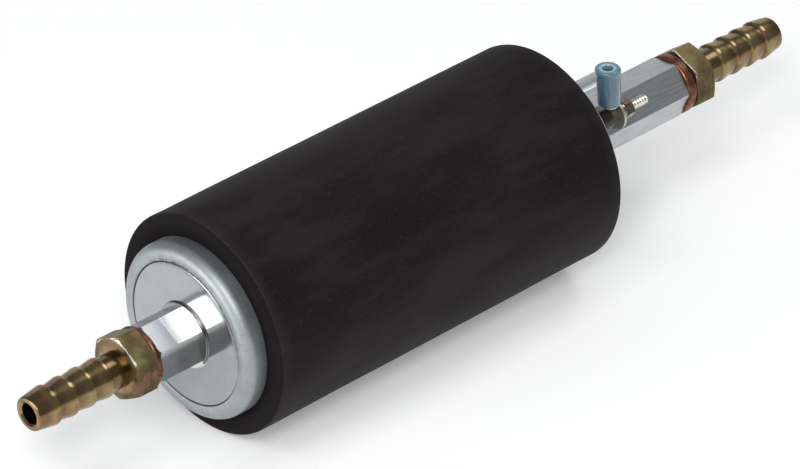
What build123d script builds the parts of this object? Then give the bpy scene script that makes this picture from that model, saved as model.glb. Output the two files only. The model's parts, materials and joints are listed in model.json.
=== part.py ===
from build123d import *
from math import atan, cos, pi, radians, sin, sqrt
import os

# Inline electric fuel pump with a foam sleeve, two hose tails and a gerotor pump inside.
# The axis is X, from the inlet at -X to the outlet at +X, and +Z is up.
# The origin is on the axis, in the middle of the foam sleeve. Sizes are in millimetres.
# A turn is an angle about the axis in degrees, from up (+Z) towards -Y.

# Fits
running_fit = 0.03          # radial clearance of a turning or sliding piece
seat_fit = 0.02             # radial clearance of pieces that stay put
axial_play = 0.05           # side clearance of the rotors and the armature
overrun = 1.0               # how far a cutter or a joined form runs past the face it meets

# Foam sleeve
sleeve_length = 106.0
sleeve_wall = 5.5
sleeve_edge = 0.8

# Case, rolled over both covers
case_diameter = 43.0
case_wall = 1.5
case_overhang = 5.0         # how far each rolled end stands out of the sleeve
roll_radius = 3.8           # outside radius of the rolled shoulder
lip_flat = 0.1              # flat ring between the shoulder and the lip's edge

# Covers
cover_depth = 9.5           # from under the lip to the inside face
land_gap = 0.1              # between the cover's land and the lip round it
land_setback = 0.1          # the land lies this far below the rolled end
land_round = 1.1
seal_section = 1.6
seal_squeeze = 0.02
seal_groove_width = 2.0
seal_groove_setback = 2.2   # from the cover's inside face to the groove

# Hexagon bosses
boss_across_flats = 13.2
boss_chamfer = 0.5
port_diameter = 10.0
port_depth = 10.0
inlet_boss_reach = 17.9     # from the sleeve's end to the boss's face
inlet_boss_turn = -2.0
inlet_bore_step = 1.0       # the inlet bore is this much smaller than the port, in radius
collar_rim = 0.4            # the collar stands this far out of the inlet boss's corners
collar_thickness = 0.6
collar_round = 0.25
outlet_boss_reach = 43.6
outlet_boss_turn = 16.0
valve_bore_step = 0.5       # the valve bore is this much smaller than the port, in radius
valve_bore_length = 24.0
outlet_throat_diameter = 5.6
inlet_chamber_depth = 1.5   # pocket in the inlet cover that feeds the pump
inlet_chamber_diameter = 19.0

# Copper washers and hose tails
washer_diameter = 15.0
inlet_washer_thickness = 1.5
outlet_washer_thickness = 3.0
washer_round = 0.8
tail_across_flats = 14.4
tail_hex_length = 6.0
tail_hex_chamfer = 1.1
spigot_end_gap = 1.0        # the spigot is this much shorter than the port
tail_nose = 5.15            # from the last crest to the tip
tail_bore_diameter = 5.1
tail_neck_diameter = 8.6
barb_count = 4
barb_pitch = 5.05
barb_first = 5.2            # from the hexagon's face to the first crest
barb_crest_diameter = 9.7
barb_valley_diameter = 8.55
barb_land = 0.9
barb_back = 0.45
tail_tip_diameter = 8.3
tail_tip_round = 0.5
tail_mouth_chamfer = 0.4

# Positive terminal stud
stud_diameter = 4.0
stud_turn = 51.0
stud_gap = 0.5              # between the outlet boss and the ring terminal
stud_stand_out = 5.1        # how far the stud stands out of the outer nut
stud_head_diameter = 7.0
stud_head_thickness = 1.6
stud_tip_chamfer = 0.5
insulator_diameter = 7.0
insulator_neck_diameter = 5.6
insulator_height = 9.5      # above the outlet cover's land
stud_seal_diameter = 8.8
stud_seal_thickness = 1.2
nut_across_flats = 7.0
nut_thickness = 3.2
nut_chamfer = 0.5
nut_turn = 30.0
spring_washer_thickness = 1.0
spring_washer_diameter = 7.0
spring_washer_gap = 0.8

# Ring terminal with its insulating sleeve
ring_diameter = 8.4
tongue_thickness = 0.7
tongue_width = 5.0
tongue_clearance = 0.1      # between the tongue and the nut and bush under it
barrel_setback = 4.0        # from the ring's middle plane back to the barrel's axis
barrel_shift = 0.35         # the barrel's axis lies this much nearer the side than the stud
barrel_diameter = 4.2
barrel_bore_diameter = 3.0
barrel_length = 6.4
blue_diameter = 5.2
blue_mouth_diameter = 5.7
blue_mouth_length = 3.4
blue_length = 8.6
blue_mouth_bore = 4.6
blue_bottom_gap = 0.1
blue_step = 0.4             # length of the slope up to the mouth
blue_rim = 0.3              # chamfer at the mouth's edge
blue_funnel_gap = 0.2       # from the barrel's end to the funnel's foot

# Earth pillar on the outlet cover
pillar_diameter = 10.0
pillar_merge = 0.1          # how far the pillar runs into the boss's flat
pillar_turn = -102.5
pillar_reach = 28.6         # from the sleeve's end to the pillar's top
pillar_edge = 0.6
earth_screw_diameter = 4.0
earth_screw_length = 9.0
earth_head_diameter = 7.0
earth_head_height = 2.4
earth_head_round = 0.7
earth_slot_width = 1.0
earth_slot_depth = 1.0
earth_washer_diameter = 7.4
earth_washer_thickness = 0.8

# Armature shaft
shaft_diameter = 6.0
shaft_flat_depth = 0.7      # of the driving flat
shaft_shoulder_height = 0.7
shaft_rear_reach = 0.6      # how far the shaft stands out of the rear bearing
shaft_end_chamfer = 0.4

# Gerotor pump
plate_thickness = 4.0
outlet_plate_thickness = 5.0
rotor_length = 6.0
inner_lobes = 6
roller_circle = 9.0         # radius on which the outer rotor's round teeth lie
roller_radius = 2.4
eccentricity = 1.0
eccentric_turn = 0.0        # where the outer rotor's middle lies
mesh_clearance = 0.05
outer_rotor_rim = 1.6       # from the round teeth to the outer rotor's outside
points_per_lobe = 12
kidney_width = 2.6
kidney_reach = 55.0         # half of each kidney's sweep, in degrees
plate_shaft_floor = 1.5     # left of the inlet plate behind the shaft's end
plate_shaft_clearance = 0.5
pump_screw_diameter = 2.5
pump_screw_count = 3
pump_screw_turn = 0.0
pump_screw_head_diameter = 4.4
pump_screw_head_height = 1.6
pump_screw_floor = 1.0      # left of the inlet plate behind each screw

# Relief valve between the pump plates
relief_turn = 180.0
relief_ball_diameter = 4.0
relief_bore_diameter = 4.6
relief_port_diameter = 2.6
relief_spring_wire = 0.5
relief_spring_diameter = 3.2
relief_pocket_floor = 2.0   # left of the inlet plate behind the relief spring
relief_seat_gap = 0.03

# Bearings
bearing_wall = 2.0
bearing_shelf = 1.0         # wall between the rotors and the front bearing
front_bearing_length = 8.0
rear_bearing_length = 6.0
thrust_washer_width = 1.5
thrust_washer_thickness = 0.8

# Armature core, windings and commutator
slot_count = 8
core_hub_wall = 2.5         # from the shaft to the slots' floor
tooth_width = 3.0
tooth_tip = 1.3
slot_opening = 1.8
slot_liner = 0.15
winding_overhang = 5.5
winding_front_gap = 4.5     # from the shaft's shoulder to the end turns
winding_bore_gap = 0.5      # from the shaft's shoulder to the end turns, in radius
winding_round = 2.0
commutator_gap = 2.0        # between the end turns and the commutator's risers
commutator_length = 11.0    # with the risers
commutator_hub_wall = 2.0
commutator_bar_height = 2.0
riser_height = 1.5          # above the bars
riser_length = 1.6
segment_gap = 0.6

# Field ring and magnets
field_wall = 2.0
magnet_thickness = 4.9
magnet_gap = 0.6            # between the core and the magnets
magnet_sweep = 132.0
magnet_overhang = 1.5
clip_thickness = 0.8
clip_play = 0.4             # degrees between each clip and the magnets

# Brush carrier
carrier_setback = 6.6       # from the outlet cover to the wall that holds the rear bearing
carrier_floor = 4.0         # thickness of that wall
carrier_front_wall = 1.0    # in front of the brush boxes
carrier_window_count = 6
carrier_window_turn = 30.0  # of the first window
carrier_window_diameter = 5.0
brush_width = 4.0
brush_length = 5.0          # along the pump's axis
brush_offset = 1.2          # the brushes' middle lies this far behind the bars' middle
brush_gap = 0.04            # between the brush and the commutator
brush_box_wall = 0.5
brush_box_gap = 1.0         # between the commutator and the box's mouth
brush_spring_length = 4.2
carrier_wall = 2.7          # outside the brush springs
carrier_seal_gap = 0.3      # the carrier clears the stud's seal by this much
carrier_hub_wall = 2.0
carrier_block_wall = 1.8
brush_spring_wire = 0.4
brush_spring_diameter = 3.2
lead_diameter = 1.4
lead_bend = 2.0
lead_rise = 4.5             # how far the wire climbs from the stud's height to the box
lead_slack = 0.1

# Outlet check valve
valve_seat_length = 3.5
valve_seat_bore = 4.6
valve_seat_cone = 0.8
poppet_diameter = 6.6
poppet_head_length = 2.4
poppet_stem_diameter = 2.6
poppet_stem_reach = 2.9     # how far the stem stands in the cage
poppet_gap = 0.03
valve_spring_wire = 0.5
valve_spring_diameter = 5.4
valve_cage_length = 4.0
valve_cage_hub_diameter = 5.6
valve_cage_spoke = 1.2
valve_cage_spoke_count = 3
valve_cage_wall = 0.9
valve_cage_setback = 11.5   # from the seat's outlet face to the cage

# Inlet strainer
strainer_gap = 0.5          # between the strainer and the inlet bore
strainer_wall = 0.5
strainer_length = 10.0
strainer_collar = 1.0
strainer_window = 1.6
strainer_window_rows = 3
strainer_window_columns = 6

# Sizes across the axis, worked out from the sizes above
sleeve_diameter = case_diameter + 2 * sleeve_wall
case_inner_radius = case_diameter / 2 - case_wall
inner_fit_radius = case_inner_radius - seat_fit
lip_diameter = case_diameter - 2 * (roll_radius + lip_flat)
collar_diameter = 2 * (boss_across_flats / sqrt(3) + collar_rim)
inlet_bore_diameter = port_diameter - 2 * inlet_bore_step
valve_bore_diameter = port_diameter - 2 * valve_bore_step
strainer_diameter = inlet_bore_diameter - 2 * strainer_gap
nut_corner_radius = nut_across_flats / sqrt(3)
stud_offset = boss_across_flats / 2 + stud_gap + max(ring_diameter / 2, nut_corner_radius)
pillar_offset = boss_across_flats / 2 - pillar_merge + pillar_diameter / 2
shaft_flat = shaft_diameter / 2 - shaft_flat_depth
shaft_shoulder_diameter = shaft_diameter + 2 * shaft_shoulder_height
bearing_diameter = shaft_diameter + 2 * bearing_wall
thrust_washer_diameter = shaft_diameter + 2 * thrust_washer_width
outer_rotor_diameter = 2 * (roller_circle + roller_radius + outer_rotor_rim)
kidney_middle_radius = roller_circle - roller_radius + eccentricity / 2
pump_screw_circle = (case_inner_radius + outer_rotor_diameter / 2) / 2
relief_offset = pump_screw_circle
field_inner_radius = case_inner_radius - field_wall
core_diameter = 2 * (field_inner_radius - magnet_thickness - magnet_gap)
slot_root_diameter = shaft_diameter + 2 * core_hub_wall
winding_inner_diameter = shaft_shoulder_diameter + 2 * winding_bore_gap
winding_outer_diameter = core_diameter - 2 * (tooth_tip + slot_liner)
commutator_hub_diameter = shaft_diameter + 2 * commutator_hub_wall
commutator_diameter = commutator_hub_diameter + 2 * commutator_bar_height
commutator_radius = commutator_diameter / 2
riser_diameter = commutator_diameter + 2 * riser_height
brush_box_start = commutator_radius + brush_box_gap
brush_box_outside = running_fit + brush_box_wall
brush_start = commutator_radius + brush_gap
brush_spring_end = inner_fit_radius - carrier_wall
brush_end = brush_spring_end - brush_spring_length
carrier_hub_diameter = bearing_diameter + 2 * carrier_hub_wall
carrier_window_circle = (carrier_hub_diameter / 2 + brush_spring_end) / 2

# Places along the axis
sleeve_end = sleeve_length / 2
case_end = sleeve_end + case_overhang
cover_front = case_end - case_wall
cover_back = cover_front - cover_depth
land_face = case_end - land_setback
inlet_boss_face = -(sleeve_end + inlet_boss_reach)
outlet_boss_face = sleeve_end + outlet_boss_reach
inlet_plate_start = -cover_back
ring_start = inlet_plate_start + plate_thickness
rotor_start = ring_start + axial_play
ring_length = rotor_length + 2 * axial_play
outlet_plate_start = ring_start + ring_length
outlet_plate_end = outlet_plate_start + outlet_plate_thickness
front_bearing_start = outlet_plate_start + bearing_shelf
front_bearing_end = front_bearing_start + front_bearing_length
shoulder_start = front_bearing_end + axial_play + thrust_washer_thickness
winding_start = shoulder_start + winding_front_gap
core_start = winding_start + winding_overhang
carrier_end = cover_back - carrier_setback
carrier_floor_start = carrier_end - carrier_floor
rear_bearing_start = carrier_end - rear_bearing_length
commutator_end = rear_bearing_start - axial_play - thrust_washer_thickness
riser_start = commutator_end - commutator_length
winding_end = riser_start - commutator_gap
core_end = winding_end - winding_overhang
core_length = core_end - core_start
brush_middle = (riser_start + riser_length + commutator_end) / 2 + brush_offset
carrier_start = brush_middle - brush_length / 2 - brush_box_outside - carrier_front_wall
magnet_start = core_start - magnet_overhang
magnet_length = core_length + 2 * magnet_overhang
insulator_top = land_face + insulator_height
ring_back = insulator_top + nut_thickness
ring_front = ring_back + tongue_thickness
terminal_nut_start = ring_front + spring_washer_thickness
stud_tip = terminal_nut_start + nut_thickness + stud_stand_out
pillar_top = sleeve_end + pillar_reach
valve_bore_start = outlet_boss_face - port_depth - valve_bore_length
valve_seat_end = valve_bore_start + valve_seat_length
valve_cage_start = valve_seat_end + valve_cage_setback
shaft_start = inlet_plate_start + plate_shaft_floor + axial_play
shaft_end = carrier_end + shaft_rear_reach
pump_screw_start = inlet_plate_start + pump_screw_floor
pump_screw_seat = outlet_plate_end - pump_screw_head_height
relief_spring_start = inlet_plate_start + relief_pocket_floor
tail_spigot_length = port_depth - spigot_end_gap
lead_start = cover_back - stud_seal_thickness - stud_head_thickness
relief_reach = sqrt((relief_ball_diameter / 2) ** 2 - (relief_port_diameter / 2) ** 2)
relief_ball_x = outlet_plate_start - relief_reach - relief_seat_gap


def polar(radius, turn):
    """Spot across the pump, as its height and its distance towards -Y."""
    return radius * cos(radians(turn)), radius * sin(radians(turn))


stud_spot = polar(stud_offset, stud_turn)
stud_height = stud_spot[0]
stud_side = -stud_spot[1]
pillar_spot = polar(pillar_offset, pillar_turn)
relief_spot = polar(relief_offset, relief_turn)
eccentric_spot = polar(eccentricity, eccentric_turn)
tongue_seat = max(nut_across_flats, insulator_diameter) / 2 + tongue_clearance
tongue_top = stud_height + tongue_seat + tongue_thickness
barrel_x = (ring_back + ring_front) / 2 - barrel_setback
barrel_side = stud_side - barrel_shift


# Helpers

def station(x):
    """Plane across the pump at x: its first axis is up, its second axis points to -Y."""
    return Plane(origin=(x, 0, 0), x_dir=(0, 0, 1), z_dir=(1, 0, 0))


def rod(start, end, diameter, spot=(0, 0)):
    """Cylinder along X between two places."""
    return extrude(station(start) * Pos(*spot) * Circle(diameter / 2), end - start)


def pipe(start, end, outside, inside, spot=(0, 0)):
    """Hollow cylinder along X."""
    return rod(start, end, outside, spot) - rod(start, end, inside, spot)


def turned(*points):
    """Solid turned about the X axis from (x, radius) points."""
    corners = [point for index, point in enumerate(points) if point != points[index - 1]]
    return revolve(Plane.XZ * make_face(Polyline(*corners, close=True)), Axis.X)


def chamfered_rod(start, end, diameter, front, back):
    """Cylinder along X with a chamfer on either end."""
    radius = diameter / 2
    return turned(
        (start, 0), (start, radius - front), (start + front, radius),
        (end - back, radius), (end, radius - back), (end, 0),
    )


def at_spot(shape, spot):
    """Moves a shape made on the X axis to a spot."""
    return Pos(0, -spot[1], spot[0]) * shape


def hexagon(start, end, across_flats, turn, front=0.0, back=0.0):
    """Hexagon along X with a corner at the turn and its corners turned down at either end."""
    corner = across_flats / sqrt(3)
    prism = extrude(station(start) * Rot(0, 0, turn) * RegularPolygon(corner, 6), end - start)
    envelope = turned(
        (start, 0), (start, corner - front), (start + front / sqrt(3), corner),
        (end - back / sqrt(3), corner), (end, corner - back), (end, 0),
    )
    return prism & envelope


def stud_nut(start):
    """Hexagon nut on the terminal stud, chamfered on both faces."""
    end = start + nut_thickness
    body = hexagon(start, end, nut_across_flats, nut_turn, nut_chamfer, nut_chamfer)
    hole = rod(start, end, stud_diameter + 2 * seat_fit)
    return at_spot(body - hole, stud_spot)


def ring_seal(middle, outer_radius):
    """O-ring lying against a bore of the outer radius."""
    section = seal_section / 2 - seal_squeeze
    return station(middle) * Torus(outer_radius - seal_section / 2, section)


def edges_at(shape, x):
    """Round edges of a turned shape that lie across the axis at x."""
    return shape.edges().filter_by(GeomType.CIRCLE).filter_by(lambda e: abs(e.center().X - x) < 0.001)


# Outside

def foam_sleeve():
    """Foam sleeve with square-cut ends, seated on the case."""
    outside = chamfered_rod(-sleeve_end, sleeve_end, sleeve_diameter, sleeve_edge, sleeve_edge)
    return outside - rod(-sleeve_end, sleeve_end, case_diameter + 2 * seat_fit)


def case_tube():
    """Thin tube whose ends are rolled over the covers."""
    outside = rod(-case_end, case_end, case_diameter)
    outside = fillet(edges_at(outside, -case_end) + edges_at(outside, case_end), roll_radius)
    inside = rod(-cover_front, cover_front, 2 * case_inner_radius)
    inside = fillet(edges_at(inside, -cover_front) + edges_at(inside, cover_front), roll_radius - case_wall)
    return outside - inside - rod(-case_end, case_end, lip_diameter)


def cover_blank():
    """Outlet cover before its boss: a disc with a seal groove, and a flat land inside the rolled lip."""
    disc = rod(cover_back, cover_front, 2 * inner_fit_radius)
    disc = fillet(edges_at(disc, cover_front), roll_radius - case_wall + seat_fit)
    land = rod(cover_front - overrun, land_face, lip_diameter - 2 * land_gap)
    disc += fillet(edges_at(land, land_face), land_round)
    groove_end = cover_back + seal_groove_setback + seal_groove_width
    groove_floor = 2 * (case_inner_radius - seal_section)
    return disc - pipe(cover_back + seal_groove_setback, groove_end, case_diameter, groove_floor)


def inlet_cover():
    """Cover with the inlet boss, which has a thin round collar at its root."""
    body = mirror(cover_blank(), Plane.YZ)
    root = -land_face + overrun
    body += hexagon(inlet_boss_face, root, boss_across_flats, inlet_boss_turn, boss_chamfer)
    collar_start = -land_face - collar_thickness
    collar = rod(collar_start, root, collar_diameter)
    body += fillet(edges_at(collar, collar_start), collar_round)
    body -= rod(inlet_boss_face, inlet_boss_face + port_depth, port_diameter)
    body -= rod(inlet_boss_face, -cover_back, inlet_bore_diameter)
    body -= rod(-cover_back - inlet_chamber_depth, -cover_back, inlet_chamber_diameter)
    channel_length = relief_offset + relief_bore_diameter / 2
    channel = station(-cover_back - inlet_chamber_depth) * Rot(0, 0, relief_turn)
    channel_area = Pos(channel_length / 2, 0) * Rectangle(channel_length, relief_bore_diameter)
    return body - extrude(channel * channel_area, inlet_chamber_depth)


def outlet_cover():
    """Cover with the long outlet boss and the earth pillar."""
    body = cover_blank()
    root = land_face - overrun
    boss = hexagon(root, outlet_boss_face, boss_across_flats, outlet_boss_turn, 0, boss_chamfer)
    pillar = chamfered_rod(root, pillar_top, pillar_diameter, 0, pillar_edge)
    body += boss + at_spot(pillar, pillar_spot)
    body -= rod(cover_back, outlet_boss_face, outlet_throat_diameter)
    body -= rod(valve_bore_start, outlet_boss_face, valve_bore_diameter)
    body -= rod(outlet_boss_face - port_depth, outlet_boss_face, port_diameter)
    body -= rod(cover_back, land_face, insulator_neck_diameter + 2 * seat_fit, stud_spot)
    return body - rod(pillar_top - earth_screw_length, pillar_top, earth_screw_diameter, pillar_spot)


def hose_tail():
    """Hose tail pointing to +X with its hexagon's seat at x = 0."""
    face = tail_hex_length
    tip = face + barb_first + (barb_count - 1) * barb_pitch + tail_nose
    crest = barb_crest_diameter / 2
    valley = barb_valley_diameter / 2
    bore = tail_bore_diameter / 2
    outline = [(face, bore), (face, tail_neck_diameter / 2)]
    for index in range(barb_count):
        start = face + barb_first + index * barb_pitch - barb_land / 2
        neck = tail_neck_diameter / 2 if index == 0 else valley
        outline += [(start - barb_back, neck), (start, crest), (start + barb_land, crest)]
        if index < barb_count - 1:
            outline.append((start + barb_pitch - barb_back - barb_land / 2, valley))
    tip_radius = tail_tip_diameter / 2
    outline += [(tip - tail_tip_round, tip_radius), (tip, tip_radius - tail_tip_round)]
    outline += [(tip, bore + tail_mouth_chamfer), (tip - tail_mouth_chamfer, bore)]
    barbs = turned(*outline)
    head = hexagon(0, face, tail_across_flats, 0, tail_hex_chamfer / 2, tail_hex_chamfer)
    spigot = chamfered_rod(-tail_spigot_length, 0, port_diameter - 2 * seat_fit, tail_mouth_chamfer, 0)
    return barbs + (head + spigot - rod(-tail_spigot_length, face, tail_bore_diameter))


def inlet_hose_tail():
    """Hose tail screwed into the inlet boss."""
    return Pos(inlet_boss_face - inlet_washer_thickness, 0, 0) * mirror(hose_tail(), Plane.YZ)


def outlet_hose_tail():
    """Hose tail screwed into the outlet boss."""
    return Pos(outlet_boss_face + outlet_washer_thickness, 0, 0) * hose_tail()


def crush_washer(start, thickness):
    """Copper washer with rounded outside edges."""
    disc = rod(start, start + thickness, washer_diameter)
    edge = min(0.45 * thickness, washer_round)
    disc = fillet(edges_at(disc, start) + edges_at(disc, start + thickness), edge)
    return disc - rod(start, start + thickness, port_diameter + 2 * seat_fit)


# Terminals

def terminal_stud():
    """Positive stud with a flat head inside the outlet cover."""
    shank = chamfered_rod(lead_start, stud_tip, stud_diameter, 0, stud_tip_chamfer)
    head = rod(lead_start, lead_start + stud_head_thickness, stud_head_diameter)
    return at_spot(shank + head, stud_spot)


def stud_seal():
    """Sealing washer between the stud's head and the outlet cover."""
    hole = stud_diameter + 2 * seat_fit
    return pipe(cover_back - stud_seal_thickness, cover_back, stud_seal_diameter, hole, stud_spot)


def terminal_insulator():
    """Stepped insulating bush round the stud."""
    hole = stud_diameter + 2 * seat_fit
    neck = pipe(cover_back, land_face, insulator_neck_diameter, hole, stud_spot)
    return neck + pipe(land_face, insulator_top, insulator_diameter, hole, stud_spot)


def spring_washer():
    """Split spring washer under the outer nut."""
    hole = stud_diameter + 2 * seat_fit
    washer = pipe(ring_front, terminal_nut_start, spring_washer_diameter, hole, stud_spot)
    slot = Box(spring_washer_thickness * 3, spring_washer_gap, spring_washer_diameter,
               align=(Align.CENTER, Align.CENTER, Align.MAX))
    return washer - at_spot(Pos(ring_front, 0, 0) * slot, stud_spot)


def ring_terminal():
    """Ring, bent tongue and open crimp barrel of the wire terminal."""
    hole = stud_diameter + 2 * seat_fit
    ring = pipe(ring_back, ring_front, ring_diameter, hole, stud_spot)
    riser_area = Pos(0, tongue_top / 2 + stud_height / 2) * Rectangle(tongue_width, tongue_top - stud_height)
    riser = extrude(Plane(origin=(ring_back, stud_side, 0), x_dir=(0, 1, 0), z_dir=(1, 0, 0)) * riser_area,
                    tongue_thickness)
    riser -= rod(ring_back, ring_front, hole, stud_spot)
    tongue = Pos(barrel_x, stud_side, tongue_top - tongue_thickness) * Box(
        ring_front - barrel_x, tongue_width, tongue_thickness, align=(Align.MIN, Align.CENTER, Align.MIN))
    foot = Pos(barrel_x, barrel_side, tongue_top - tongue_thickness) * Cylinder(
        barrel_diameter / 2, tongue_thickness, align=(Align.CENTER, Align.CENTER, Align.MIN))
    barrel = Pos(barrel_x, barrel_side, tongue_top) * Cylinder(
        barrel_diameter / 2, barrel_length, align=(Align.CENTER, Align.CENTER, Align.MIN))
    bore = Pos(barrel_x, barrel_side, tongue_top) * Cylinder(
        barrel_bore_diameter / 2, barrel_length, align=(Align.CENTER, Align.CENTER, Align.MIN))
    return ring + riser + tongue + foot + (barrel - bore)


def terminal_sleeve():
    """Blue insulating sleeve with a wider mouth round the crimp barrel."""
    lower = tongue_top + blue_bottom_gap
    profile = Polyline(
        (barrel_diameter / 2 + seat_fit, 0), (blue_diameter / 2, 0),
        (blue_diameter / 2, blue_length - blue_mouth_length),
        (blue_mouth_diameter / 2, blue_length - blue_mouth_length + blue_step),
        (blue_mouth_diameter / 2, blue_length - blue_rim),
        (blue_mouth_diameter / 2 - blue_rim, blue_length), (blue_mouth_bore / 2, blue_length),
        (barrel_diameter / 2 + seat_fit, barrel_length + blue_funnel_gap),
        close=True,
    )
    body = revolve(Plane.XZ * make_face(profile), Axis.Z)
    return Pos(barrel_x, barrel_side, lower) * body


def earth_screw():
    """Slotted screw on the earth pillar."""
    seat = pillar_top + earth_washer_thickness
    shank = rod(pillar_top - earth_screw_length, seat, earth_screw_diameter - 2 * seat_fit)
    head = rod(seat, seat + earth_head_height, earth_head_diameter)
    head = fillet(edges_at(head, seat + earth_head_height), earth_head_round)
    cutter = Box(2 * earth_slot_depth, earth_slot_width, earth_head_diameter)
    slot = Pos(seat + earth_head_height, 0, 0) * cutter
    return at_spot(shank + head - slot, pillar_spot)


def earth_washer():
    """Plain washer under the earth screw's head."""
    hole = earth_screw_diameter + 2 * seat_fit
    return pipe(pillar_top, pillar_top + earth_washer_thickness, earth_washer_diameter, hole, pillar_spot)


# Gerotor pump and relief valve

def sector(inner, outer, turn, sweep):
    """Flat ring sector round the axis, its middle at the turn."""
    corners = [polar(2 * outer, turn + side * sweep / 2) for side in (-1, 0, 1)]
    wedge = make_face(Polyline((0, 0), *corners, close=True))
    return (Circle(outer) - Circle(inner)) & wedge


def kidney(start, length, turn):
    """Cutter for a curved port through a pump plate."""
    arc = CenterArc((0, 0), kidney_middle_radius, turn - kidney_reach, 2 * kidney_reach)
    return extrude(station(start) * SlotArc(arc, kidney_width), length)


def screw_spots():
    """Spots of the screws that hold the pump plates together."""
    step = 360 / pump_screw_count
    turns = [pump_screw_turn + step * index for index in range(pump_screw_count)]
    return [polar(pump_screw_circle, turn) for turn in turns]


def pump_inlet_plate():
    """Plate between the inlet cover and the rotors, with the suction port."""
    plate = rod(inlet_plate_start, ring_start, 2 * inner_fit_radius)
    plate -= kidney(inlet_plate_start, plate_thickness, eccentric_turn - 90)
    plate -= rod(inlet_plate_start + plate_shaft_floor, ring_start, shaft_diameter + 2 * running_fit)
    plate -= rod(inlet_plate_start, ring_start, relief_port_diameter, relief_spot)
    plate -= rod(relief_spring_start, ring_start, relief_bore_diameter, relief_spot)
    for spot in screw_spots():
        plate -= rod(pump_screw_start, ring_start, pump_screw_diameter + 2 * seat_fit, spot)
    return plate


def pump_ring():
    """Ring whose offset bore carries the outer rotor."""
    ring = rod(ring_start, outlet_plate_start, 2 * inner_fit_radius)
    ring -= rod(ring_start, outlet_plate_start, outer_rotor_diameter + 2 * running_fit, eccentric_spot)
    ring -= rod(ring_start, outlet_plate_start, relief_bore_diameter, relief_spot)
    for spot in screw_spots():
        ring -= rod(ring_start, outlet_plate_start, pump_screw_diameter + 2 * seat_fit, spot)
    return ring


def pump_outlet_plate():
    """Plate between the rotors and the motor, with the pressure port and the front bearing's seat."""
    plate = rod(outlet_plate_start, outlet_plate_end, 2 * inner_fit_radius)
    plate -= kidney(outlet_plate_start, outlet_plate_thickness, eccentric_turn + 90)
    plate -= rod(outlet_plate_start, outlet_plate_end, shaft_diameter + 2 * plate_shaft_clearance)
    plate -= rod(front_bearing_start, outlet_plate_end, bearing_diameter)
    plate -= rod(outlet_plate_start, outlet_plate_end, relief_port_diameter, relief_spot)
    for spot in screw_spots():
        plate -= rod(outlet_plate_start, outlet_plate_end, pump_screw_diameter + 2 * seat_fit, spot)
        plate -= rod(pump_screw_seat, outlet_plate_end, pump_screw_head_diameter + 2 * seat_fit, spot)
    return plate


def pump_screws():
    """Screws through both plates and the ring."""
    screws = []
    for spot in screw_spots():
        shank = rod(pump_screw_start, outlet_plate_end, pump_screw_diameter, spot)
        head = rod(pump_screw_seat, outlet_plate_end, pump_screw_head_diameter, spot)
        screws.append(shank + head)
    return screws


def lobe_point(angle):
    """Point on the inner rotor, rolled out by round teeth that are larger by the clearance."""
    teeth = inner_lobes + 1
    phase = (1 - teeth) * angle
    lean = atan(sin(phase) / (roller_circle / (eccentricity * teeth) - cos(phase)))
    roller = roller_radius + mesh_clearance
    across = roller_circle * cos(angle) - roller * cos(angle + lean) - eccentricity * cos(teeth * angle)
    along = -roller_circle * sin(angle) + roller * sin(angle + lean) + eccentricity * sin(teeth * angle)
    return across, along


def inner_rotor():
    """Rotor with rolled lobes and a D-shaped bore."""
    lobe_angle = 2 * pi / inner_lobes
    points = [lobe_point(lobe_angle * index / points_per_lobe) for index in range(points_per_lobe + 1)]
    lobe = Spline(*points, tangents=((0, -1), (-sin(lobe_angle), -cos(lobe_angle))))
    lobes = [Rot(0, 0, -360 / inner_lobes * index) * lobe for index in range(inner_lobes)]
    outline = Rot(0, 0, eccentric_turn + 180) * make_face(lobes)
    bore_radius = shaft_diameter / 2 + seat_fit
    flat_height = bore_radius + shaft_flat + seat_fit
    bore_area = Pos((shaft_flat + seat_fit - bore_radius) / 2, 0) * Rectangle(flat_height, 2 * bore_radius)
    bore = Circle(bore_radius) & bore_area
    return extrude(station(rotor_start) * (outline - bore), rotor_length)


def outer_rotor():
    """Ring with round teeth, one more than the inner rotor has lobes."""
    root = roller_circle - roller_radius + 2 * eccentricity + mesh_clearance
    space = Circle(root)
    teeth = inner_lobes + 1
    for index in range(teeth):
        spot = polar(roller_circle, eccentric_turn + 180 + 360 / teeth * index)
        space -= Pos(*spot) * Circle(roller_radius)
    ring = Circle(outer_rotor_diameter / 2) - space
    return extrude(station(rotor_start) * Pos(*eccentric_spot) * ring, rotor_length)


def relief_ball():
    """Ball on the pressure port's edge."""
    height, depth = relief_spot
    return Pos(relief_ball_x, -depth, height) * Sphere(relief_ball_diameter / 2)


def relief_spring():
    """Spring behind the relief ball, as a plain sleeve of its coil's size."""
    inside = relief_spring_diameter - 2 * relief_spring_wire
    nest = sqrt((relief_ball_diameter / 2) ** 2 - (inside / 2) ** 2)
    end = relief_ball_x - nest - relief_seat_gap
    return pipe(relief_spring_start, end, relief_spring_diameter, inside, relief_spot)


# Motor

def armature_shaft():
    """Shaft with a shoulder against the core and a driving flat for the inner rotor."""
    radius = shaft_diameter / 2
    shoulder = shaft_shoulder_diameter / 2
    tip = shaft_end_chamfer
    shaft = turned(
        (shaft_start, 0), (shaft_start, radius - tip), (shaft_start + tip, radius),
        (shoulder_start, radius), (shoulder_start, shoulder), (core_start, shoulder), (core_start, radius),
        (shaft_end - tip, radius), (shaft_end, radius - tip), (shaft_end, 0),
    )
    flat = Pos(shaft_start, 0, shaft_flat) * Box(
        rotor_start + rotor_length - shaft_start, shaft_diameter, shaft_diameter,
        align=(Align.MIN, Align.CENTER, Align.MIN))
    return shaft - flat


def bearing(start, length):
    """Sintered bush round the shaft."""
    return pipe(start, start + length, bearing_diameter - 2 * seat_fit, shaft_diameter + 2 * running_fit)


def front_bearing():
    """Bush between the pump and the motor."""
    return bearing(front_bearing_start, front_bearing_length)


def rear_bearing():
    """Bush in the brush carrier."""
    return bearing(rear_bearing_start, rear_bearing_length)


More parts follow.
